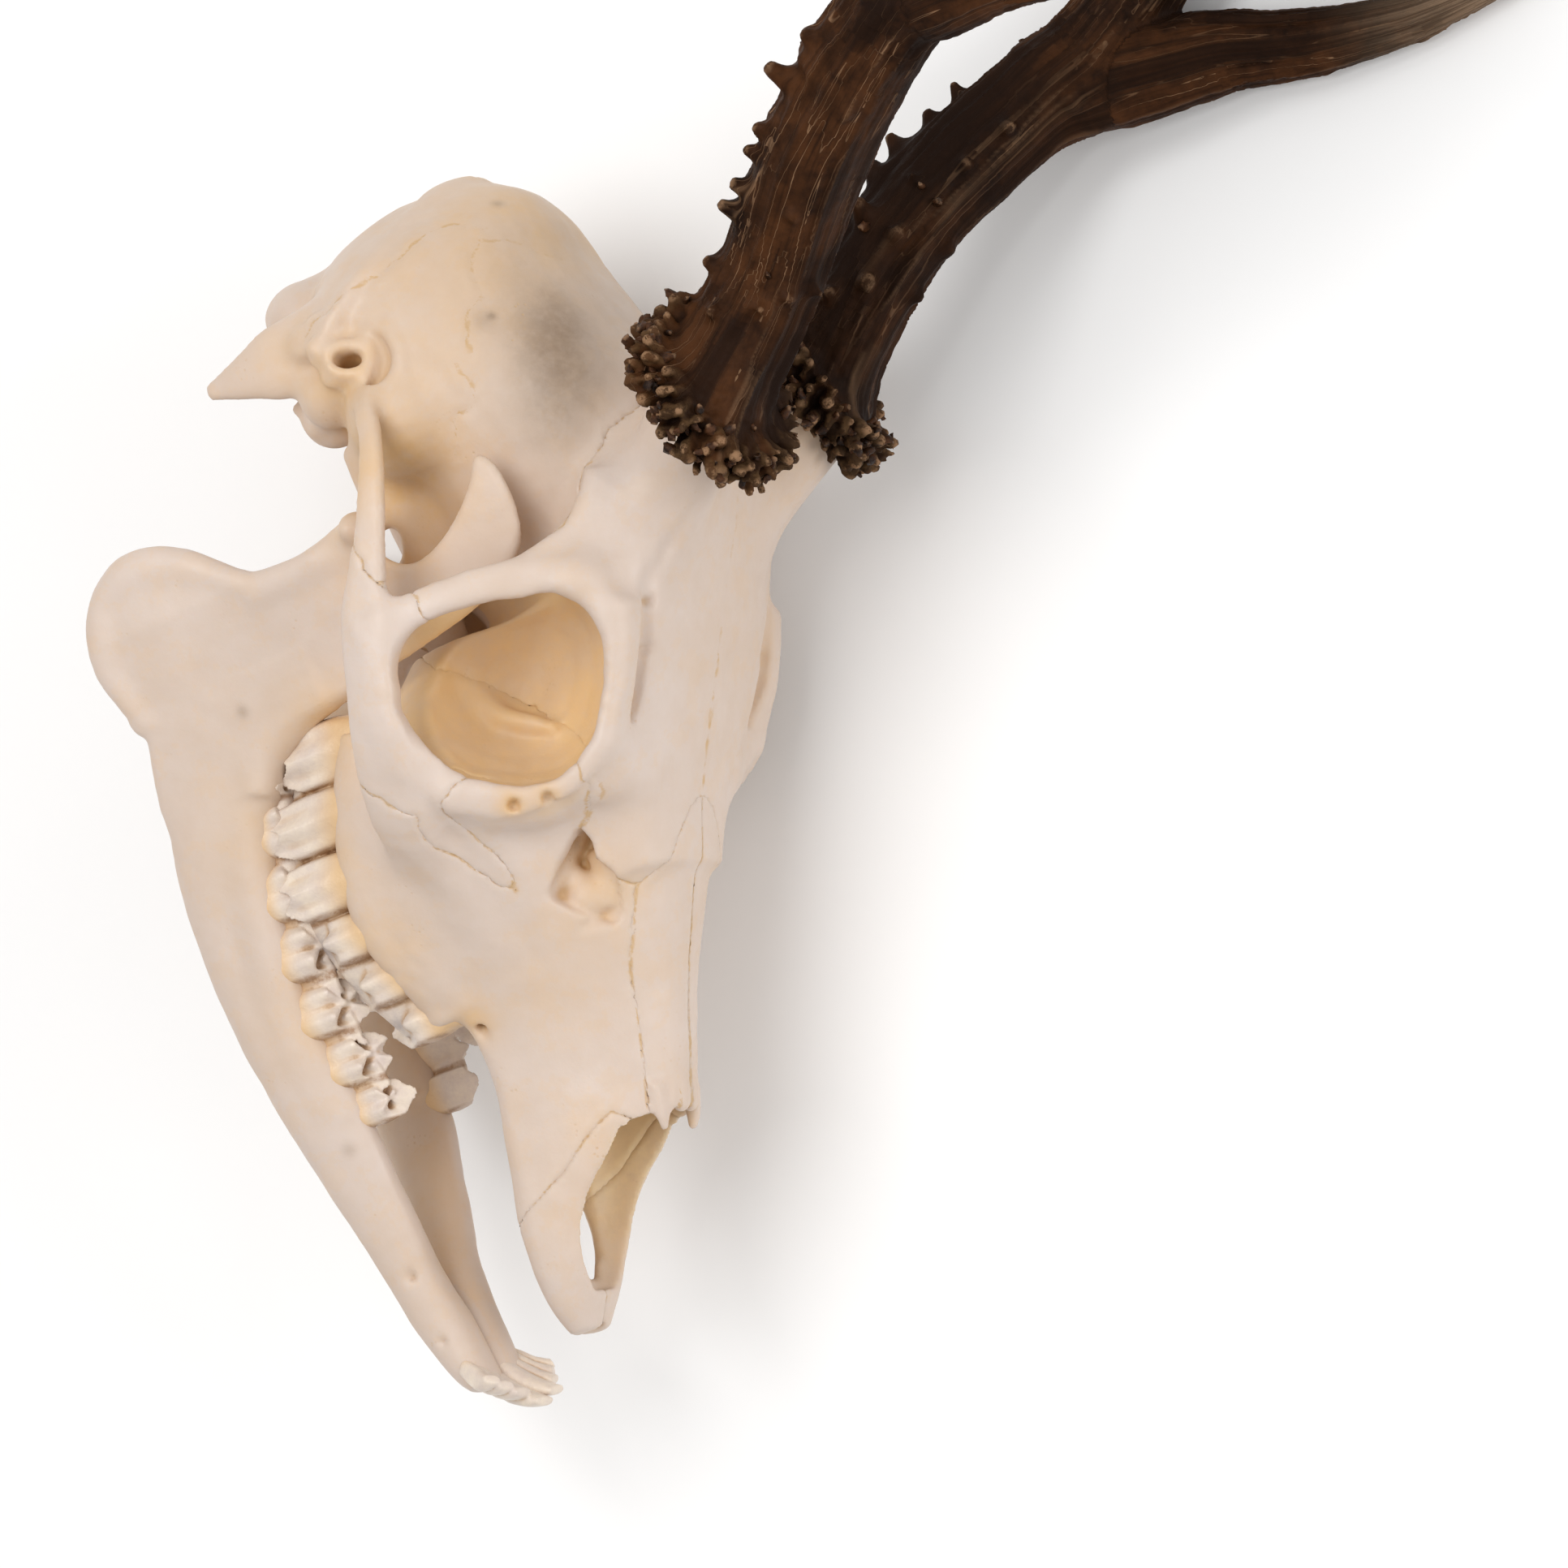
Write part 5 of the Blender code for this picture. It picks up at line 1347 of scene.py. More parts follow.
def sums(tree, operation, a, b=0.0):
    """One or two values put through a Math node."""
    return put(tree, "ShaderNodeMath", {0: a, 1: b}, operation=operation).outputs[0]


def times(tree, a, b):
    return sums(tree, "MULTIPLY", a, b)


def plus(tree, a, b):
    return sums(tree, "ADD", a, b)


def minus(tree, a, b):
    return sums(tree, "SUBTRACT", a, b)


def mark(tree, name, output="Fac"):
    """A number or a vector that was stored at the points of the mesh."""
    return put(tree, "ShaderNodeAttribute", attribute_name=name).outputs[output]


def speckle(tree, place, count, detail, roughness=0.5):
    """Plain noise with about count lumps in each unit of the place."""
    inputs = {"Vector": place, "Scale": count, "Detail": detail, "Roughness": roughness}
    return put(tree, "ShaderNodeTexNoise", inputs).outputs["Fac"]


def painted(tree, colour, coats):
    """The colour under coats of (share, colour), the last one on top."""
    for share, coat in coats:
        mixed = put(tree, "ShaderNodeMix", {0: share, 6: colour, 7: coat}, data_type="RGBA")
        colour = mixed.outputs[2]
    return colour


def uneven(tree, share, mask, least):
    """The share, thinned to that least where the mask is 0."""
    return times(tree, share, ramp(tree, mask, 0.0, 1.0, least, 1.0))


def bumps(tree, height, distance, strength):
    inputs = {"Height": height, "Distance": distance, "Strength": strength}
    return put(tree, "ShaderNodeBump", inputs).outputs["Normal"]


def mottle_group():
    """Two colours in soft irregular patches, with a finer mottle inside them."""
    inputs = (
        ("Place", "NodeSocketVector", (0, 0, 0)),
        ("Patches per Metre", "NodeSocketFloat", 40.0),
        ("Contrast", "NodeSocketFloat", 0.5),
        ("Colour A", "NodeSocketColor", (1, 1, 1, 1)),
        ("Colour B", "NodeSocketColor", (0, 0, 0, 1)),
    )
    outputs = (("Colour", "NodeSocketColor"), ("Mask", "NodeSocketFloat"))
    tree, start, end = start_group("Mottle", inputs, outputs)
    place, count = start.outputs["Place"], start.outputs["Patches per Metre"]
    broad = speckle(tree, place, count, 5.0, 0.6)
    fine = speckle(tree, place, times(tree, count, 6.3), 4.0, 0.65)
    centred = minus(tree, plus(tree, broad, times(tree, fine, 0.35)), 0.675)
    mask = plus(tree, times(tree, centred, times(tree, start.outputs["Contrast"], 5.0)), 0.5)
    mask = put(tree, "ShaderNodeClamp", {"Value": mask}).outputs[0]
    colour = painted(tree, start.outputs["Colour A"], [(mask, start.outputs["Colour B"])])
    feed(tree, end, {"Colour": colour, "Mask": mask})
    return tree


def pores_group():
    """Tiny pits scattered over a dry surface: a height, and a mask that is 1 in the pits."""
    inputs = (
        ("Place", "NodeSocketVector", (0, 0, 0)),
        ("Pores per Metre", "NodeSocketFloat", 900.0),
        ("Amount", "NodeSocketFloat", 0.3),
    )
    outputs = (("Height", "NodeSocketFloat"), ("Mask", "NodeSocketFloat"))
    tree, start, end = start_group("Pores", inputs, outputs)
    place, count = start.outputs["Place"], start.outputs["Pores per Metre"]
    cells = put(tree, "ShaderNodeTexVoronoi", {"Vector": place, "Scale": count, "Randomness": 1.0})
    pit = ramp(tree, cells.outputs["Distance"], 0.08, 0.3, 1.0, 0.0)
    edge = minus(tree, 0.75, times(tree, start.outputs["Amount"], 0.4))
    mask = times(tree, pit, ramp(tree, speckle(tree, place, times(tree, count, 0.12), 2.0), edge, 0.8))
    grain = speckle(tree, place, times(tree, count, 1.4), 5.0)
    feed(tree, end, {"Height": minus(tree, times(tree, grain, 0.5), mask), "Mask": mask})
    return tree


def shared_group(name, make):
    return bpy.data.node_groups.get(name) or make()


def mottle(tree, place, count, contrast, colours=()):
    """The outputs of soft patches, count of them to a metre: their Colour and their Mask."""
    inputs = {"Place": place, "Patches per Metre": count, "Contrast": contrast}
    inputs.update(zip(("Colour A", "Colour B"), colours))
    return put(tree, "ShaderNodeGroup", inputs, node_tree=shared_group("Mottle", mottle_group)).outputs


def new_material(name):
    """An empty material and its tree, Principled shader and object coordinates."""
    finish = bpy.data.materials.new(name)
    finish.use_nodes = True
    tree = finish.node_tree
    shader = tree.nodes["Principled BSDF"]
    place = put(tree, "ShaderNodeTexCoord").outputs["Object"]
    return finish, tree, shader, place


def shared_material(name, make, look):
    """The material of that name, made when it is first asked for."""
    return bpy.data.materials.get(name) or make(name, look)


def bone_finish(name, look):
    """Cream bone with golden and grey places, ochre sutures and fine pores."""
    finish, tree, shader, place = new_material(name)
    broad = mottle(tree, place, 28.0, 0.45, (look.bone_colour, look.bone_light_colour))
    golden = mottle(tree, place, 75.0, 0.6)["Mask"]
    stains = mottle(tree, place, 130.0, 1.2)["Mask"]
    wander = mottle(tree, place, 260.0, 0.9)["Mask"]
    greys = mottle(tree, place, 110.0, 0.5)["Mask"]
    pores = {"Place": place, "Pores per Metre": 850.0, "Amount": 0.45}
    pores = put(tree, "ShaderNodeGroup", pores, node_tree=shared_group("Pores", pores_group)).outputs
    line_width = ramp(tree, wander, 0.0, 1.0, 0.1, 0.42)
    colour = painted(tree, broad["Colour"], (
        # painted shade and warm bounce light in the hollows
        (ramp(tree, mark(tree, "recess"), 0.55, 0.8, 0.0, 0.65), look.bone_recess_colour),
        # golden stain and painted warm shade
        (uneven(tree, mark(tree, "warm"), golden, 0.55), look.bone_warm_colour),
        (uneven(tree, mark(tree, "thin"), golden, 0.6), look.bone_thin_colour),
        (ramp(tree, stains, 0.72, 1.0, 0.0, 0.12), look.bone_warm_colour),
        # painted shade: the creases are darkened with the suture ochre
        (ramp(tree, mark(tree, "crease"), 0.56, 0.82, 0.0, 0.55), look.seam_colour),
        (ramp(tree, mark(tree, "seam"), 0.0, line_width, 0.85, 0.0), look.seam_colour),
        # grey smudges, and painted shade in the hollow behind the eye socket
        (uneven(tree, mark(tree, "smudge"), greys, 0.65), look.smudge_colour),
        # painted shade: the pores are darkened with the suture ochre
        (times(tree, pores["Mask"], 0.45), look.seam_colour),
    ))
    feed(tree, shader, {
        "Base Color": colour,
        "Roughness": ramp(tree, broad["Mask"], 0.0, 1.0, 0.58, 0.44),
        "Normal": bumps(tree, pores["Height"], 0.00012, 0.55),
        "Subsurface Weight": 0.12,
        "Subsurface Radius": (1.0, 0.7, 0.45),
        "Subsurface Scale": 0.003,
    })
    return finish


def tooth_finish(name, look):
    """Enamel golden at the gum; grey patches; painted shade on molar lobes, in creases and, with brown
    stain, in pits.
    """
    finish, tree, shader, place = new_material(name)
    streaks = mottle(tree, place, 220.0, 0.5, (look.tooth_colour, look.bone_light_colour))
    tartar = mottle(tree, place, 320.0, 1.1)["Mask"]
    crease = mark(tree, "crease")
    facet = times(tree, mark(tree, "facet"), ramp(tree, streaks["Mask"], 0.1, 0.9, 0.5, 1.0))
    # brown stain and painted shade in the pits and in the gaps between the teeth
    pit = sums(tree, "MAXIMUM", ramp(tree, crease, 0.52, 0.7), times(tree, mark(tree, "between"), 0.85))
    colour = painted(tree, streaks["Colour"], (
        (ramp(tree, mark(tree, "crown"), -0.1, 0.45, 0.8, 0.0), look.bone_warm_colour),
        # grey patches, painted as shade on the molars' lobes
        (facet, look.tooth_grey_colour),
        # painted warm shade in the creases of the teeth
        (ramp(tree, crease, 0.5, 0.64, 0.0, 0.5), look.bone_warm_colour),
        (uneven(tree, pit, tartar, 0.45), look.tooth_stain_colour),
    ))
    feed(tree, shader, {
        "Base Color": colour,
        "Roughness": ramp(tree, streaks["Mask"], 0.0, 1.0, 0.28, 0.42),
        "Normal": bumps(tree, tartar, 0.0001, 0.5),
    })
    return finish


# Pale hairlines along an antler's grain: (lumps in a unit of the grain, width as a share of the noise)
HAIRLINES = ((0.2, 0.0065), (0.42, 0.008))


def antler_finish(name, look):
    """Dark brown horn, black bands and pale hairlines on its grain, rubbed ridges, ivory tips, painted
    shade in creases.
    """
    finish, tree, shader, place = new_material(name)
    broad = mottle(tree, place, 45.0, 0.8, (look.antler_dark_colour, look.antler_colour))
    crust = mottle(tree, place, 420.0, 1.0)["Mask"]
    grain = mark(tree, "grain", "Vector")
    fibre = speckle(tree, grain, 0.9, 6.0, 0.6)
    band = speckle(tree, grain, 0.22, 4.0, 0.55)
    crease = mark(tree, "crease")
    coats = [
        (ramp(tree, band, 0.44, 0.64, 0.0, 0.85), look.antler_dark_colour),
        (ramp(tree, fibre, 0.5, 0.75, 0.0, 0.7), look.antler_dark_colour),
        (ramp(tree, mark(tree, "ridge"), 0.75, 1.5, 0.0, 0.35), look.antler_worn_colour),
    ]
    patchy = times(tree, ramp(tree, band, 0.36, 0.56, 0.7, 0.08), mark(tree, "clear"))
    height = fibre
    for scale, width in HAIRLINES:
        off = sums(tree, "ABSOLUTE", minus(tree, speckle(tree, grain, scale, 1.0, 0.4), 0.5))
        line = ramp(tree, off, width * 0.25, width, 1.0, 0.0)
        coats.append((times(tree, line, patchy), look.antler_worn_colour))
        height = plus(tree, height, times(tree, line, 0.35))
    ivory = times(tree, ramp(tree, mark(tree, "tip"), 0.1, 0.95), ramp(tree, fibre, 0.3, 0.62, 1.0, 0.35))
    olive = times(tree, mark(tree, "brim"), ramp(tree, crust, 0.15, 0.9, 0.2, 0.6))
    rubbed = times(tree, ramp(tree, crease, 0.18, 0.32, 0.7, 0.0), ramp(tree, crust, 0.2, 0.8, 0.1, 1.0))
    coats += [
        (ivory, look.antler_tip_colour),
        (times(tree, olive, ramp(tree, crease, 0.36, 0.52, 1.0, 0.1)), look.antler_brim_colour),
        (rubbed, look.antler_worn_colour),
        # painted shade: the creases are darkened to near black
        (ramp(tree, crease, 0.52, 0.68, 0.0, 0.85), look.antler_dark_colour),
        (mark(tree, "dark"), look.antler_dark_colour),
    ]
    feed(tree, shader, {
        "Base Color": painted(tree, broad["Colour"], coats),
        "Roughness": ramp(tree, fibre, 0.3, 0.7, 0.42, 0.66),
        "Normal": bumps(tree, height, 0.0006, 0.6),
        "Specular IOR Level": 0.04,
    })
    return finish


def pearl_finish(name, look):
    """Dark horn whose knobs are rubbed tan at the top."""
    finish, tree, shader, place = new_material(name)
    broad = mottle(tree, place, 300.0, 0.8, (look.antler_dark_colour, look.antler_colour))
    top = ramp(tree, mark(tree, "knob_top"), 0.7, 1.0, 0.0, 0.6)
    rubbed = times(tree, top, ramp(tree, broad["Mask"], 0.1, 0.7, 0.2, 1.0))
    feed(tree, shader, {
        "Base Color": painted(tree, broad["Colour"], [(rubbed, look.antler_worn_colour)]),
        "Roughness": ramp(tree, broad["Mask"], 0.0, 1.0, 0.35, 0.55),
        "Normal": bumps(tree, broad["Mask"], 0.0002, 0.6),
        "Specular IOR Level": 0.15,
    })
    return finish


def floor_finish(name, studio):
    finish, tree, shader, place = new_material(name)
    dimmer = tuple(0.985 * c for c in studio.floor_colour[:3]) + (1.0,)
    broad = mottle(tree, place, 6.0, 0.4, (studio.floor_colour, dimmer))
    feed(tree, shader, {"Base Color": broad["Colour"], "Roughness": 0.9, "Specular IOR Level": 0.1})
    return finish


# ---------------------------------------------------------------- pearls by geometry nodes


def pearl_nodes():
    """A tree that scatters small knobs over a surface, thickest where its mark "pearly" is 1."""
    tree = bpy.data.node_groups.new("Antler Pearls", "GeometryNodeTree")
    tree.interface.new_socket("Geometry", in_out="INPUT", socket_type="NodeSocketGeometry")
    for label, kind, value in (
        ("Knob Radius", "NodeSocketFloat", 0.0008),
        ("Knob Height", "NodeSocketFloat", 0.0013),
        ("Knob Roughness", "NodeSocketFloat", 0.002),
        ("Knobs per Square Metre", "NodeSocketFloat", 60000.0),
        ("Seed", "NodeSocketInt", 1),
    ):
        tree.interface.new_socket(label, in_out="INPUT", socket_type=kind).default_value = value
    tree.interface.new_socket("Finish", in_out="INPUT", socket_type="NodeSocketMaterial")
    tree.interface.new_socket("Geometry", in_out="OUTPUT", socket_type="NodeSocketGeometry")
    start = tree.nodes.new("NodeGroupInput").outputs
    end = tree.nodes.new("NodeGroupOutput")
    pearly = put(tree, "GeometryNodeInputNamedAttribute", {"Name": "pearly"}, data_type="FLOAT")
    density = times(tree, pearly.outputs["Attribute"], start["Knobs per Square Metre"])
    places = {"Mesh": start["Geometry"], "Density": density, "Seed": start["Seed"]}
    scatter = put(tree, "GeometryNodeDistributePointsOnFaces", places).outputs
    knob = put(tree, "GeometryNodeMeshUVSphere", {"Segments": 8, "Rings": 6, "Radius": 1.0})
    position = put(tree, "GeometryNodeInputPosition").outputs[0]
    level = put(tree, "ShaderNodeSeparateXYZ", {0: position}).outputs["Z"]
    topped = {"Geometry": knob.outputs["Mesh"], "Name": "knob_top", "Value": level}
    topped = put(tree, "GeometryNodeStoreNamedAttribute", topped, data_type="FLOAT", domain="POINT")
    smooth = put(tree, "GeometryNodeSetShadeSmooth", {"Geometry": topped.outputs["Geometry"]})
    sizes = {"Seed": start["Seed"], 2: 0.55, 3: 1.35}
    size = put(tree, "FunctionNodeRandomValue", sizes, data_type="FLOAT").outputs[1]
    radius, height = times(tree, start["Knob Radius"], size), times(tree, start["Knob Height"], size)
    scale = put(tree, "ShaderNodeCombineXYZ", {"X": radius, "Y": radius, "Z": height})
    copies = put(tree, "GeometryNodeInstanceOnPoints", {
        "Points": scatter["Points"],
        "Instance": smooth.outputs["Geometry"],
        "Rotation": scatter["Rotation"],
        "Scale": scale.outputs[0],
    })
    real = put(tree, "GeometryNodeRealizeInstances", {"Geometry": copies.outputs["Instances"]})
    lumps = put(tree, "ShaderNodeTexNoise", {"Scale": 900.0, "Detail": 1.0}).outputs["Color"]
    push = put(tree, "ShaderNodeVectorMath", {0: lumps, 1: (0.5, 0.5, 0.5)}, operation="SUBTRACT")
    push = {0: push.outputs[0], 3: start["Knob Roughness"]}
    push = put(tree, "ShaderNodeVectorMath", push, operation="SCALE").outputs[0]
    lumpy = put(tree, "GeometryNodeSetPosition", {"Geometry": real.outputs["Geometry"], "Offset": push})
    finished = {"Geometry": lumpy.outputs["Geometry"], "Material": start["Finish"]}
    finished = put(tree, "GeometryNodeSetMaterial", finished)
    feed(tree, end, {"Geometry": finished.outputs["Geometry"]})
    return tree


def grow_pearls(name, antler, tree, values, node):
    """Pearls over an antler, as a plain mesh of their own."""
    carrier = bpy.data.objects.new(name, antler.data)
    bpy.context.scene.collection.objects.link(carrier)
    modifier = carrier.modifiers.new("pearls", "NODES")
    modifier.node_group = tree
    for item in tree.interface.items_tree:
        if item.in_out == "INPUT" and item.name in values:
            modifier[item.identifier] = values[item.name]
    graph = bpy.context.evaluated_depsgraph_get()
    mesh = bpy.data.meshes.new_from_object(carrier.evaluated_get(graph))
    carrier.modifiers.remove(modifier)
    carrier.data = mesh
    mesh.name = name
    if not mesh.polygons:
        raise RuntimeError("no pearls grew on " + antler.name)
    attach(carrier, "root")
    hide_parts(node)
    return carrier


# ---------------------------------------------------------------- the add-on


def length(name, description, default, least=0.0):
    """A size in metres."""
    return FloatProperty(name=name, description=description, default=default, min=least, unit="LENGTH")


def tint(name, description, *shade):
    """A colour, as linear red, green and blue."""
    whole = (*shade, 1)
    return FloatVectorProperty(name=name, description=description, subtype="COLOR", size=4, default=whole)


class RoeSkullLook(bpy.types.PropertyGroup):
    """Sizes and colours of the skull."""

    bone_step: length("Bone Detail", "Grid step of the bones", 0.0006, 0.0003)
    tooth_step: length("Tooth Detail", "Grid step of the teeth", 0.00034, 0.0002)
    antler_step: length("Antler Detail", "Grid step of the antlers", 0.00052, 0.0003)
    suture_overlap: length("Suture Overlap", "How far neighbouring bones reach into each other", 0.0007)
    pearl_radius: length("Pearl Radius", "Radius of a small antler pearl", 0.0007)
    pearl_height: length("Pearl Height", "Height of a small antler pearl", 0.0015)
    pearl_roughness: length("Pearl Roughness", "How far small pearls are pushed out of shape", 0.002)
    pearl_count: FloatProperty(
        name="Pearls per Square Metre",
        description="How thickly pearls stand about the coronet",
        default=52000,
    )
    pearl_seed: IntProperty(
        name="Pearl Seed",
        description="Which random scatter of pearls is used",
        default=4,
    )
    bone_colour: tint("Bone", "Cream of the bone", 0.60, 0.468, 0.370)
    bone_light_colour: tint("Pale Bone", "Bleached bone", 0.645, 0.54, 0.475)
    # painted shade and warm bounce light in the hollows
    bone_recess_colour: tint("Hollows", "Bone in hollows", 0.56, 0.33, 0.14)
    bone_thin_colour: tint("Thin Bone", "Golden bone that light shines through", 0.92, 0.72, 0.44)
    # golden of greasy and stained bone, also painted as warm shade in hollows
    bone_warm_colour: tint("Golden Bone", "Thin, greasy or stained bone", 0.68, 0.43, 0.19)
    # the ochre of the sutures, also painted as shade in creases and pores
    seam_colour: tint("Sutures", "Ochre lines where bones meet", 0.55, 0.345, 0.15)
    # grey smudges, also painted as shade in the hollow behind the eye socket
    smudge_colour: tint("Smudges", "Grey marks on the braincase", 0.27, 0.185, 0.12)
    tooth_colour: tint("Enamel", "White of the teeth", 0.78, 0.665, 0.54)
    # grey of the premolars' patches, also painted as shade on the molars' lobes
    tooth_grey_colour: tint("Worn Facets", "Grey of worn tooth faces", 0.36, 0.32, 0.31)
    # brown stain, also painted as shade in the pits and gaps of the teeth
    tooth_stain_colour: tint("Tooth Stain", "Brown in the pits of the teeth", 0.30, 0.155, 0.07)
    antler_colour: tint("Antler", "Reddish brown of the antlers", 0.072, 0.027, 0.010)
    # near black of the horn, also painted as shade in its creases
    antler_dark_colour: tint("Dark Antler", "Near black of the antlers", 0.013, 0.006, 0.0035)
    antler_worn_colour: tint("Worn Ridges", "Tan of rubbed ridges and pearl tips", 0.33, 0.19, 0.105)
    antler_brim_colour: tint("Coronet Brim", "Golden brown of the rubbed coronet", 0.135, 0.075, 0.034)
    antler_tip_colour: tint("Tine Tips", "Polished ivory of the tine tips", 0.38, 0.26, 0.17)


class RoeSkullStudio(bpy.types.PropertyGroup):
    """Light and floor."""

    floor_colour: tint("Floor", "Pale floor", 0.95, 0.95, 0.95)
    key_light: FloatProperty(
        name="Key Light",
        description="Power of the large light",
        default=9.5,
        unit="POWER",
    )
    rim_light: FloatProperty(
        name="Rim Light",
        description="Power of the light from the forehead's side",
        default=7.0,
        unit="POWER",
    )
    sky: FloatProperty(name="Sky", description="Strength of the even light from all round", default=0.62)


def on_side(points, sign, left_shift=(0, 0, 0)):
    """Points of the right half brought to the side of that sign, with the left side's own shift."""
    return points * (sign, 1, 1) + (np.array(left_shift) if sign < 0 else 0)


# The bones of the cranium: (territory, piece, node, sides and their signs)
BONES = (
    ("braincase", "braincase_bone", "braincase", (("", 0),)),
    ("forehead", "frontal_bone", "forehead", (("", 0),)),
    ("upper_jaw", "maxilla", "upper_jaw", SIDES),
    ("nasal_bone", "nasal", "nasal_bones", SIDES),
    ("premaxilla", "incisive_bone", "premaxilla_{}", SIDES),
    ("cheek_bone", "cheek_bone", "zygomatic_arch_{}", SIDES),
)
ANTLER_RUNS = ("beam", "front_tine", "upper_beam", "rear_tine")


class ROE_OT_cranium(bpy.types.Operator):
    """Build the bones of the cranium, parted along their sutures"""

    bl_idname = "roe_skull.cranium"
    bl_label = "Build Cranium"

    def execute(self, context):
        look = context.scene.roe_skull_look
        finish = shared_material("bone_cream", bone_finish, look)
        clay = sculpt_cranium(look.bone_step / MM)
        territories, x = bone_territories(clay)
        gap = -look.suture_overlap / MM / 2
        for bone, stem, node, sides in BONES:
            territory = territories[bone]
            whole = np.maximum(clay.field, territory + gap)
            for side, sign in sides:
                field = np.maximum(whole, gap - sign * x) if sign else whole
                points, faces = clay.surface(field)
                facing = outward(points, faces)
                seam = np.abs(clay.read(territory, points))
                seam = np.minimum(seam, 0.6 * seam_distance(points, facing))
                if sign:
                    seam = np.minimum(seam, np.abs(points[:, 0]))
                marks = bone_marks(points, facing, seam, clay)
                moved = weathered(points, faces, seam)
                name = stem + ("_" + side if side else "")
                make_piece(name, moved, faces, finish, [node.format(side)], marks)
        return {"FINISHED"}


class ROE_OT_lower_jaw(bpy.types.Operator):
    """Build the two halves of the lower jaw"""

    bl_idname = "roe_skull.lower_jaw"
    bl_label = "Build Lower Jaw"

    def execute(self, context):
        look = context.scene.roe_skull_look
        finish = shared_material("bone_cream", bone_finish, look)
        clay = sculpt_jaw(look.bone_step / MM)
        points, faces = clay.surface(clay.field)
        seam = np.full(len(points), NO_SEAM)
        marks = bone_marks(points, outward(points, faces), seam, clay)
        moved = weathered(points, faces, seam)
        for side, sign in SIDES:
            placed = on_side(moved, sign, LEFT_JAW_SHIFT)
            make_piece("jaw_bone_" + side, placed, faces, finish, ["mandible_" + side], marks)
        return {"FINISHED"}


class ROE_OT_teeth(bpy.types.Operator):
    """Build the cheek teeth and front teeth"""

    bl_idname = "roe_skull.teeth"
    bl_label = "Build Teeth"

    def execute(self, context):
        look = context.scene.roe_skull_look
        finish = shared_material("tooth_enamel", tooth_finish, look)
        step = look.tooth_step / MM
        upper = sculpt_teeth(UPPER_TEETH, step, *UPPER_RELIEF)
        lower = sculpt_teeth(LOWER_TEETH, step, *LOWER_RELIEF)
        front = sculpt_front_teeth(step)
        for label, clay, teeth, grey_patch_spots, node, left_shift in (
            ("upper_teeth", upper, UPPER_TEETH, worn_facets(UPPER_TEETH), "upper_jaw", (0, 0, 0)),
            ("lower_teeth", lower, LOWER_TEETH, (), "mandible_{}", LEFT_JAW_SHIFT),
            ("front_teeth", front, (), (), "mandible_{}", LEFT_JAW_SHIFT),
        ):
            points, faces = clay.surface(clay.field)
            crown, between = tooth_places(teeth, points)
            marks = {
                "crown": crown,
                "crease": clay.about(points, 2),
                "facet": patches(points, grey_patch_spots),
                "between": between,
            }
            moved = points + outward(points, faces) * (0.06 * noise(points, 1.4, 61))[:, None]
            for side, sign in SIDES:
                placed = on_side(moved, sign, left_shift)
                make_piece(label + "_" + side, placed, faces, finish, [node.format(side)], marks)
        return {"FINISHED"}


class ROE_OT_antlers(bpy.types.Operator):
    """Build the two antlers with their coronets"""

    bl_idname = "roe_skull.antlers"
    bl_label = "Build Antlers"

    def execute(self, context):
        look = context.scene.roe_skull_look
        finish = shared_material("antler_dark", antler_finish, look)
        right_tine = tine_path(RIGHT_TINE_SHIFT, RIGHT_TINE_SHARE)
        right = (right_tine, BEAM_SPIKES, (), RIGHT_SPREAD, RIGHT_SEED, RIGHT_ANTLER_DARK)
        left = (FRONT_TINE, LEFT_BEAM_SPIKES, LEFT_SWELLING, LEFT_SPREAD, LEFT_SEED, LEFT_ANTLER_DARK)
        for (side, sign), (tine, spikes, swelling, spread, seed, dark) in zip(SIDES, (right, left)):
            clay = sculpt_antler(look.antler_step / MM, sign, tine, spikes, swelling, spread, seed)
            points, faces = clay.surface(clay.field)
            moved, marks = antler_surface(points, faces, tine, seed)
            marks["crease"] = clay.about(points, 2)
            marks["dark"] = patches(points, dark)
            placed = on_side(moved, sign, LEFT_ANTLER_SHIFT)
            nodes = ["antler_{}_{}".format(side, run) for run in ANTLER_RUNS]
            make_piece("antler_" + side, placed, faces, finish, nodes, marks)
        return {"FINISHED"}


class ROE_OT_antler_pearls(bpy.types.Operator):
    """Scatter small pearls about the coronets and the lower beams"""

    bl_idname = "roe_skull.antler_pearls"
    bl_label = "Grow Antler Pearls"

    def execute(self, context):
        look = context.scene.roe_skull_look
        tree = pearl_nodes()
        for number, (side, _) in enumerate(SIDES):
            values = {
                "Knob Radius": look.pearl_radius,
                "Knob Height": look.pearl_height,
                "Knob Roughness": look.pearl_roughness,
                "Knobs per Square Metre": look.pearl_count,
                "Seed": look.pearl_seed + number,
                "Finish": shared_material("antler_pearl", pearl_finish, look),
            }
            antler = bpy.data.objects["antler_" + side]
            grow_pearls("antler_pearls_" + side, antler, tree, values, "antler_{}_beam".format(side))
        return {"FINISHED"}


def stand(scene, name, data, matrix=None):
    """Puts an object with that data into the scene."""
    thing = bpy.data.objects.new(name, data)
    scene.collection.objects.link(thing)
    if matrix is not None:
        thing.matrix_world = matrix
    return thing


def lay_floor(scene, studio):
    far = FLOOR_HALF_SIZE
    mesh = bpy.data.meshes.new("studio_floor")
    mesh.from_pydata([(-far, -far, 0), (far, -far, 0), (far, far, 0), (-far, far, 0)], [], [(0, 1, 2, 3)])
    mesh.materials.append(floor_finish("studio_floor", studio))
    floor = stand(scene, "studio_floor", mesh)


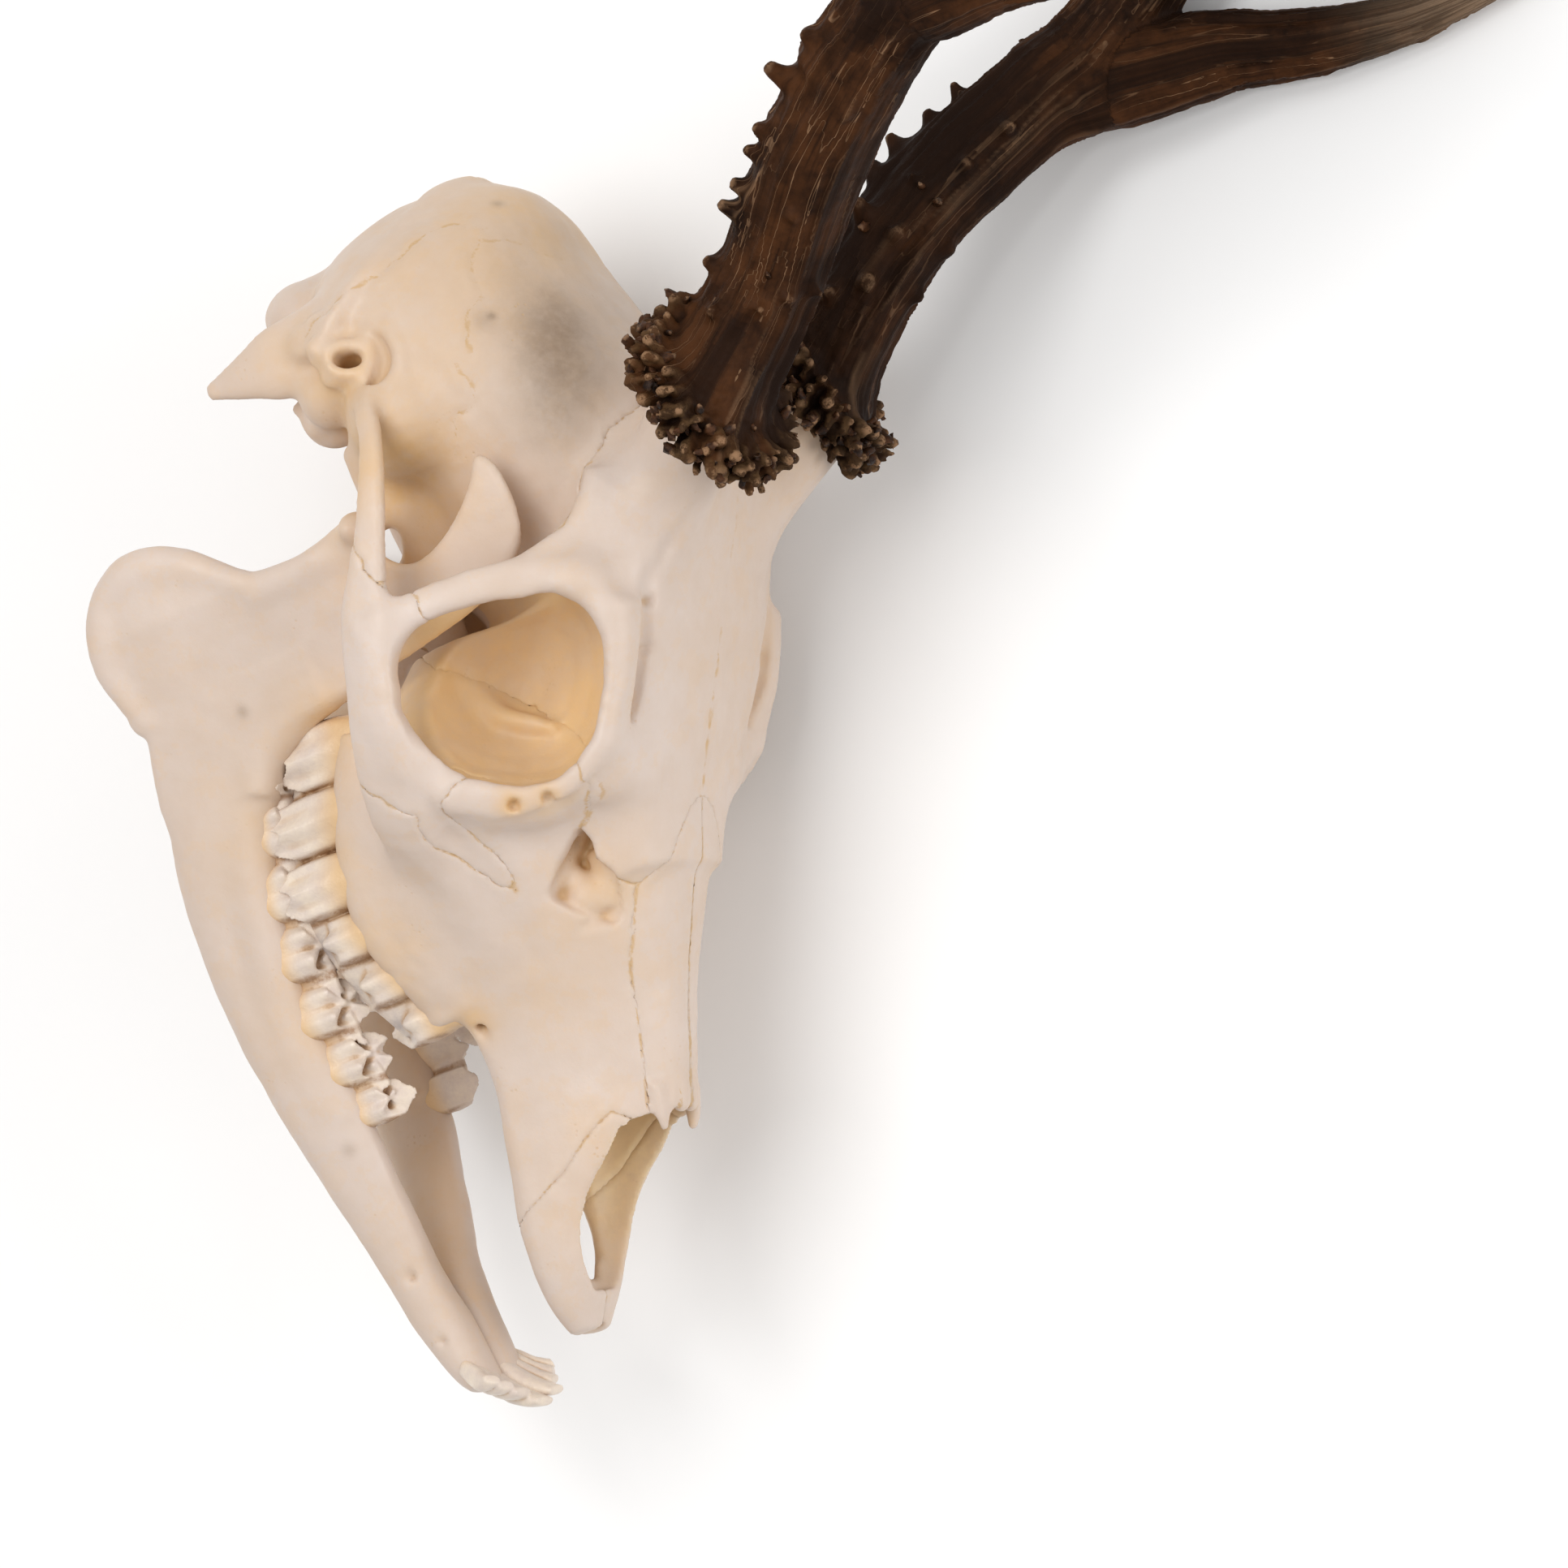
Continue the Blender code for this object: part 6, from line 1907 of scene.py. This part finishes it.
def set_camera(scene):
    """The photo's camera: it looks down on the skull as it lies."""
    lens = bpy.data.cameras.new("photo_camera")
    lens.lens = CAMERA_LENS
    lens.sensor_width = 36
    lens.clip_start = 0.05
    matrix = laid_down()
    right, up = Vector(CAMERA_RIGHT), Vector(CAMERA_UP)
    back = right.cross(up).normalized()
    right = up.cross(back).normalized()
    up = back.cross(right)
    turn = matrix.to_3x3().normalized() @ Matrix((right, up, back)).transposed()
    place = Matrix.Translation(matrix @ Vector(CAMERA_PLACE))
    scene.camera = stand(scene, "photo_camera", lens, place @ turn.to_4x4())


def set_lights(scene, studio):
    """Two large soft lights, and an even light from all round."""
    for name, way, distance, size in LIGHTS:
        lamp = bpy.data.lights.new(name, "AREA")
        lamp.shape = "DISK"
        lamp.size = size
        lamp.energy = getattr(studio, name)
        way = Vector(way).normalized()
        place = Matrix.Translation(Vector(LIT_POINT) + way * distance)
        stand(scene, name, lamp, place @ way.to_track_quat("Z", "Y").to_matrix().to_4x4())
    world = bpy.data.worlds.new("studio_sky")
    world.use_nodes = True
    tree = world.node_tree
    feed(tree, tree.nodes["Background"], {"Color": SKY_COLOUR, "Strength": studio.sky})
    scene.world = world
    scene.view_settings.view_transform = "Standard"


class ROE_OT_stage(bpy.types.Operator):
    """Lay the floor and set the lights and the camera"""

    bl_idname = "roe_skull.stage"
    bl_label = "Set Stage"

    def execute(self, context):
        studio = context.scene.roe_skull_studio
        lay_floor(context.scene, studio)
        set_camera(context.scene)
        set_lights(context.scene, studio)
        return {"FINISHED"}


OPERATORS = (
    ROE_OT_cranium,
    ROE_OT_lower_jaw,
    ROE_OT_teeth,
    ROE_OT_antlers,
    ROE_OT_antler_pearls,
    ROE_OT_stage,
)


class ROE_PT_panel(bpy.types.Panel):
    """Lists the skull's settings and what builds it"""

    bl_idname = "ROE_PT_panel"
    bl_label = "Roe Buck Skull"
    bl_space_type = "VIEW_3D"
    bl_region_type = "UI"
    bl_category = "Roe Skull"

    def draw(self, context):
        layout = self.layout
        for operator in OPERATORS:
            layout.operator(operator.bl_idname)
        for settings in (context.scene.roe_skull_look, context.scene.roe_skull_studio):
            box = layout.box()
            for name in settings.__annotations__:
                box.prop(settings, name)


CLASSES = (RoeSkullLook, RoeSkullStudio, *OPERATORS, ROE_PT_panel)


def register():
    for kind in CLASSES:
        bpy.utils.register_class(kind)
    bpy.types.Scene.roe_skull_look = PointerProperty(type=RoeSkullLook)
    bpy.types.Scene.roe_skull_studio = PointerProperty(type=RoeSkullStudio)


def unregister():
    del bpy.types.Scene.roe_skull_studio
    del bpy.types.Scene.roe_skull_look
    for kind in reversed(CLASSES):
        bpy.utils.unregister_class(kind)


def main():
    register()
    bpy.ops.roe_skull.cranium()
    bpy.ops.roe_skull.lower_jaw()
    bpy.ops.roe_skull.teeth()
    bpy.ops.roe_skull.antlers()
    bpy.ops.roe_skull.antler_pearls()
    bpy.ops.roe_skull.stage()
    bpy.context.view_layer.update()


if __name__ == "__main__":
    main()
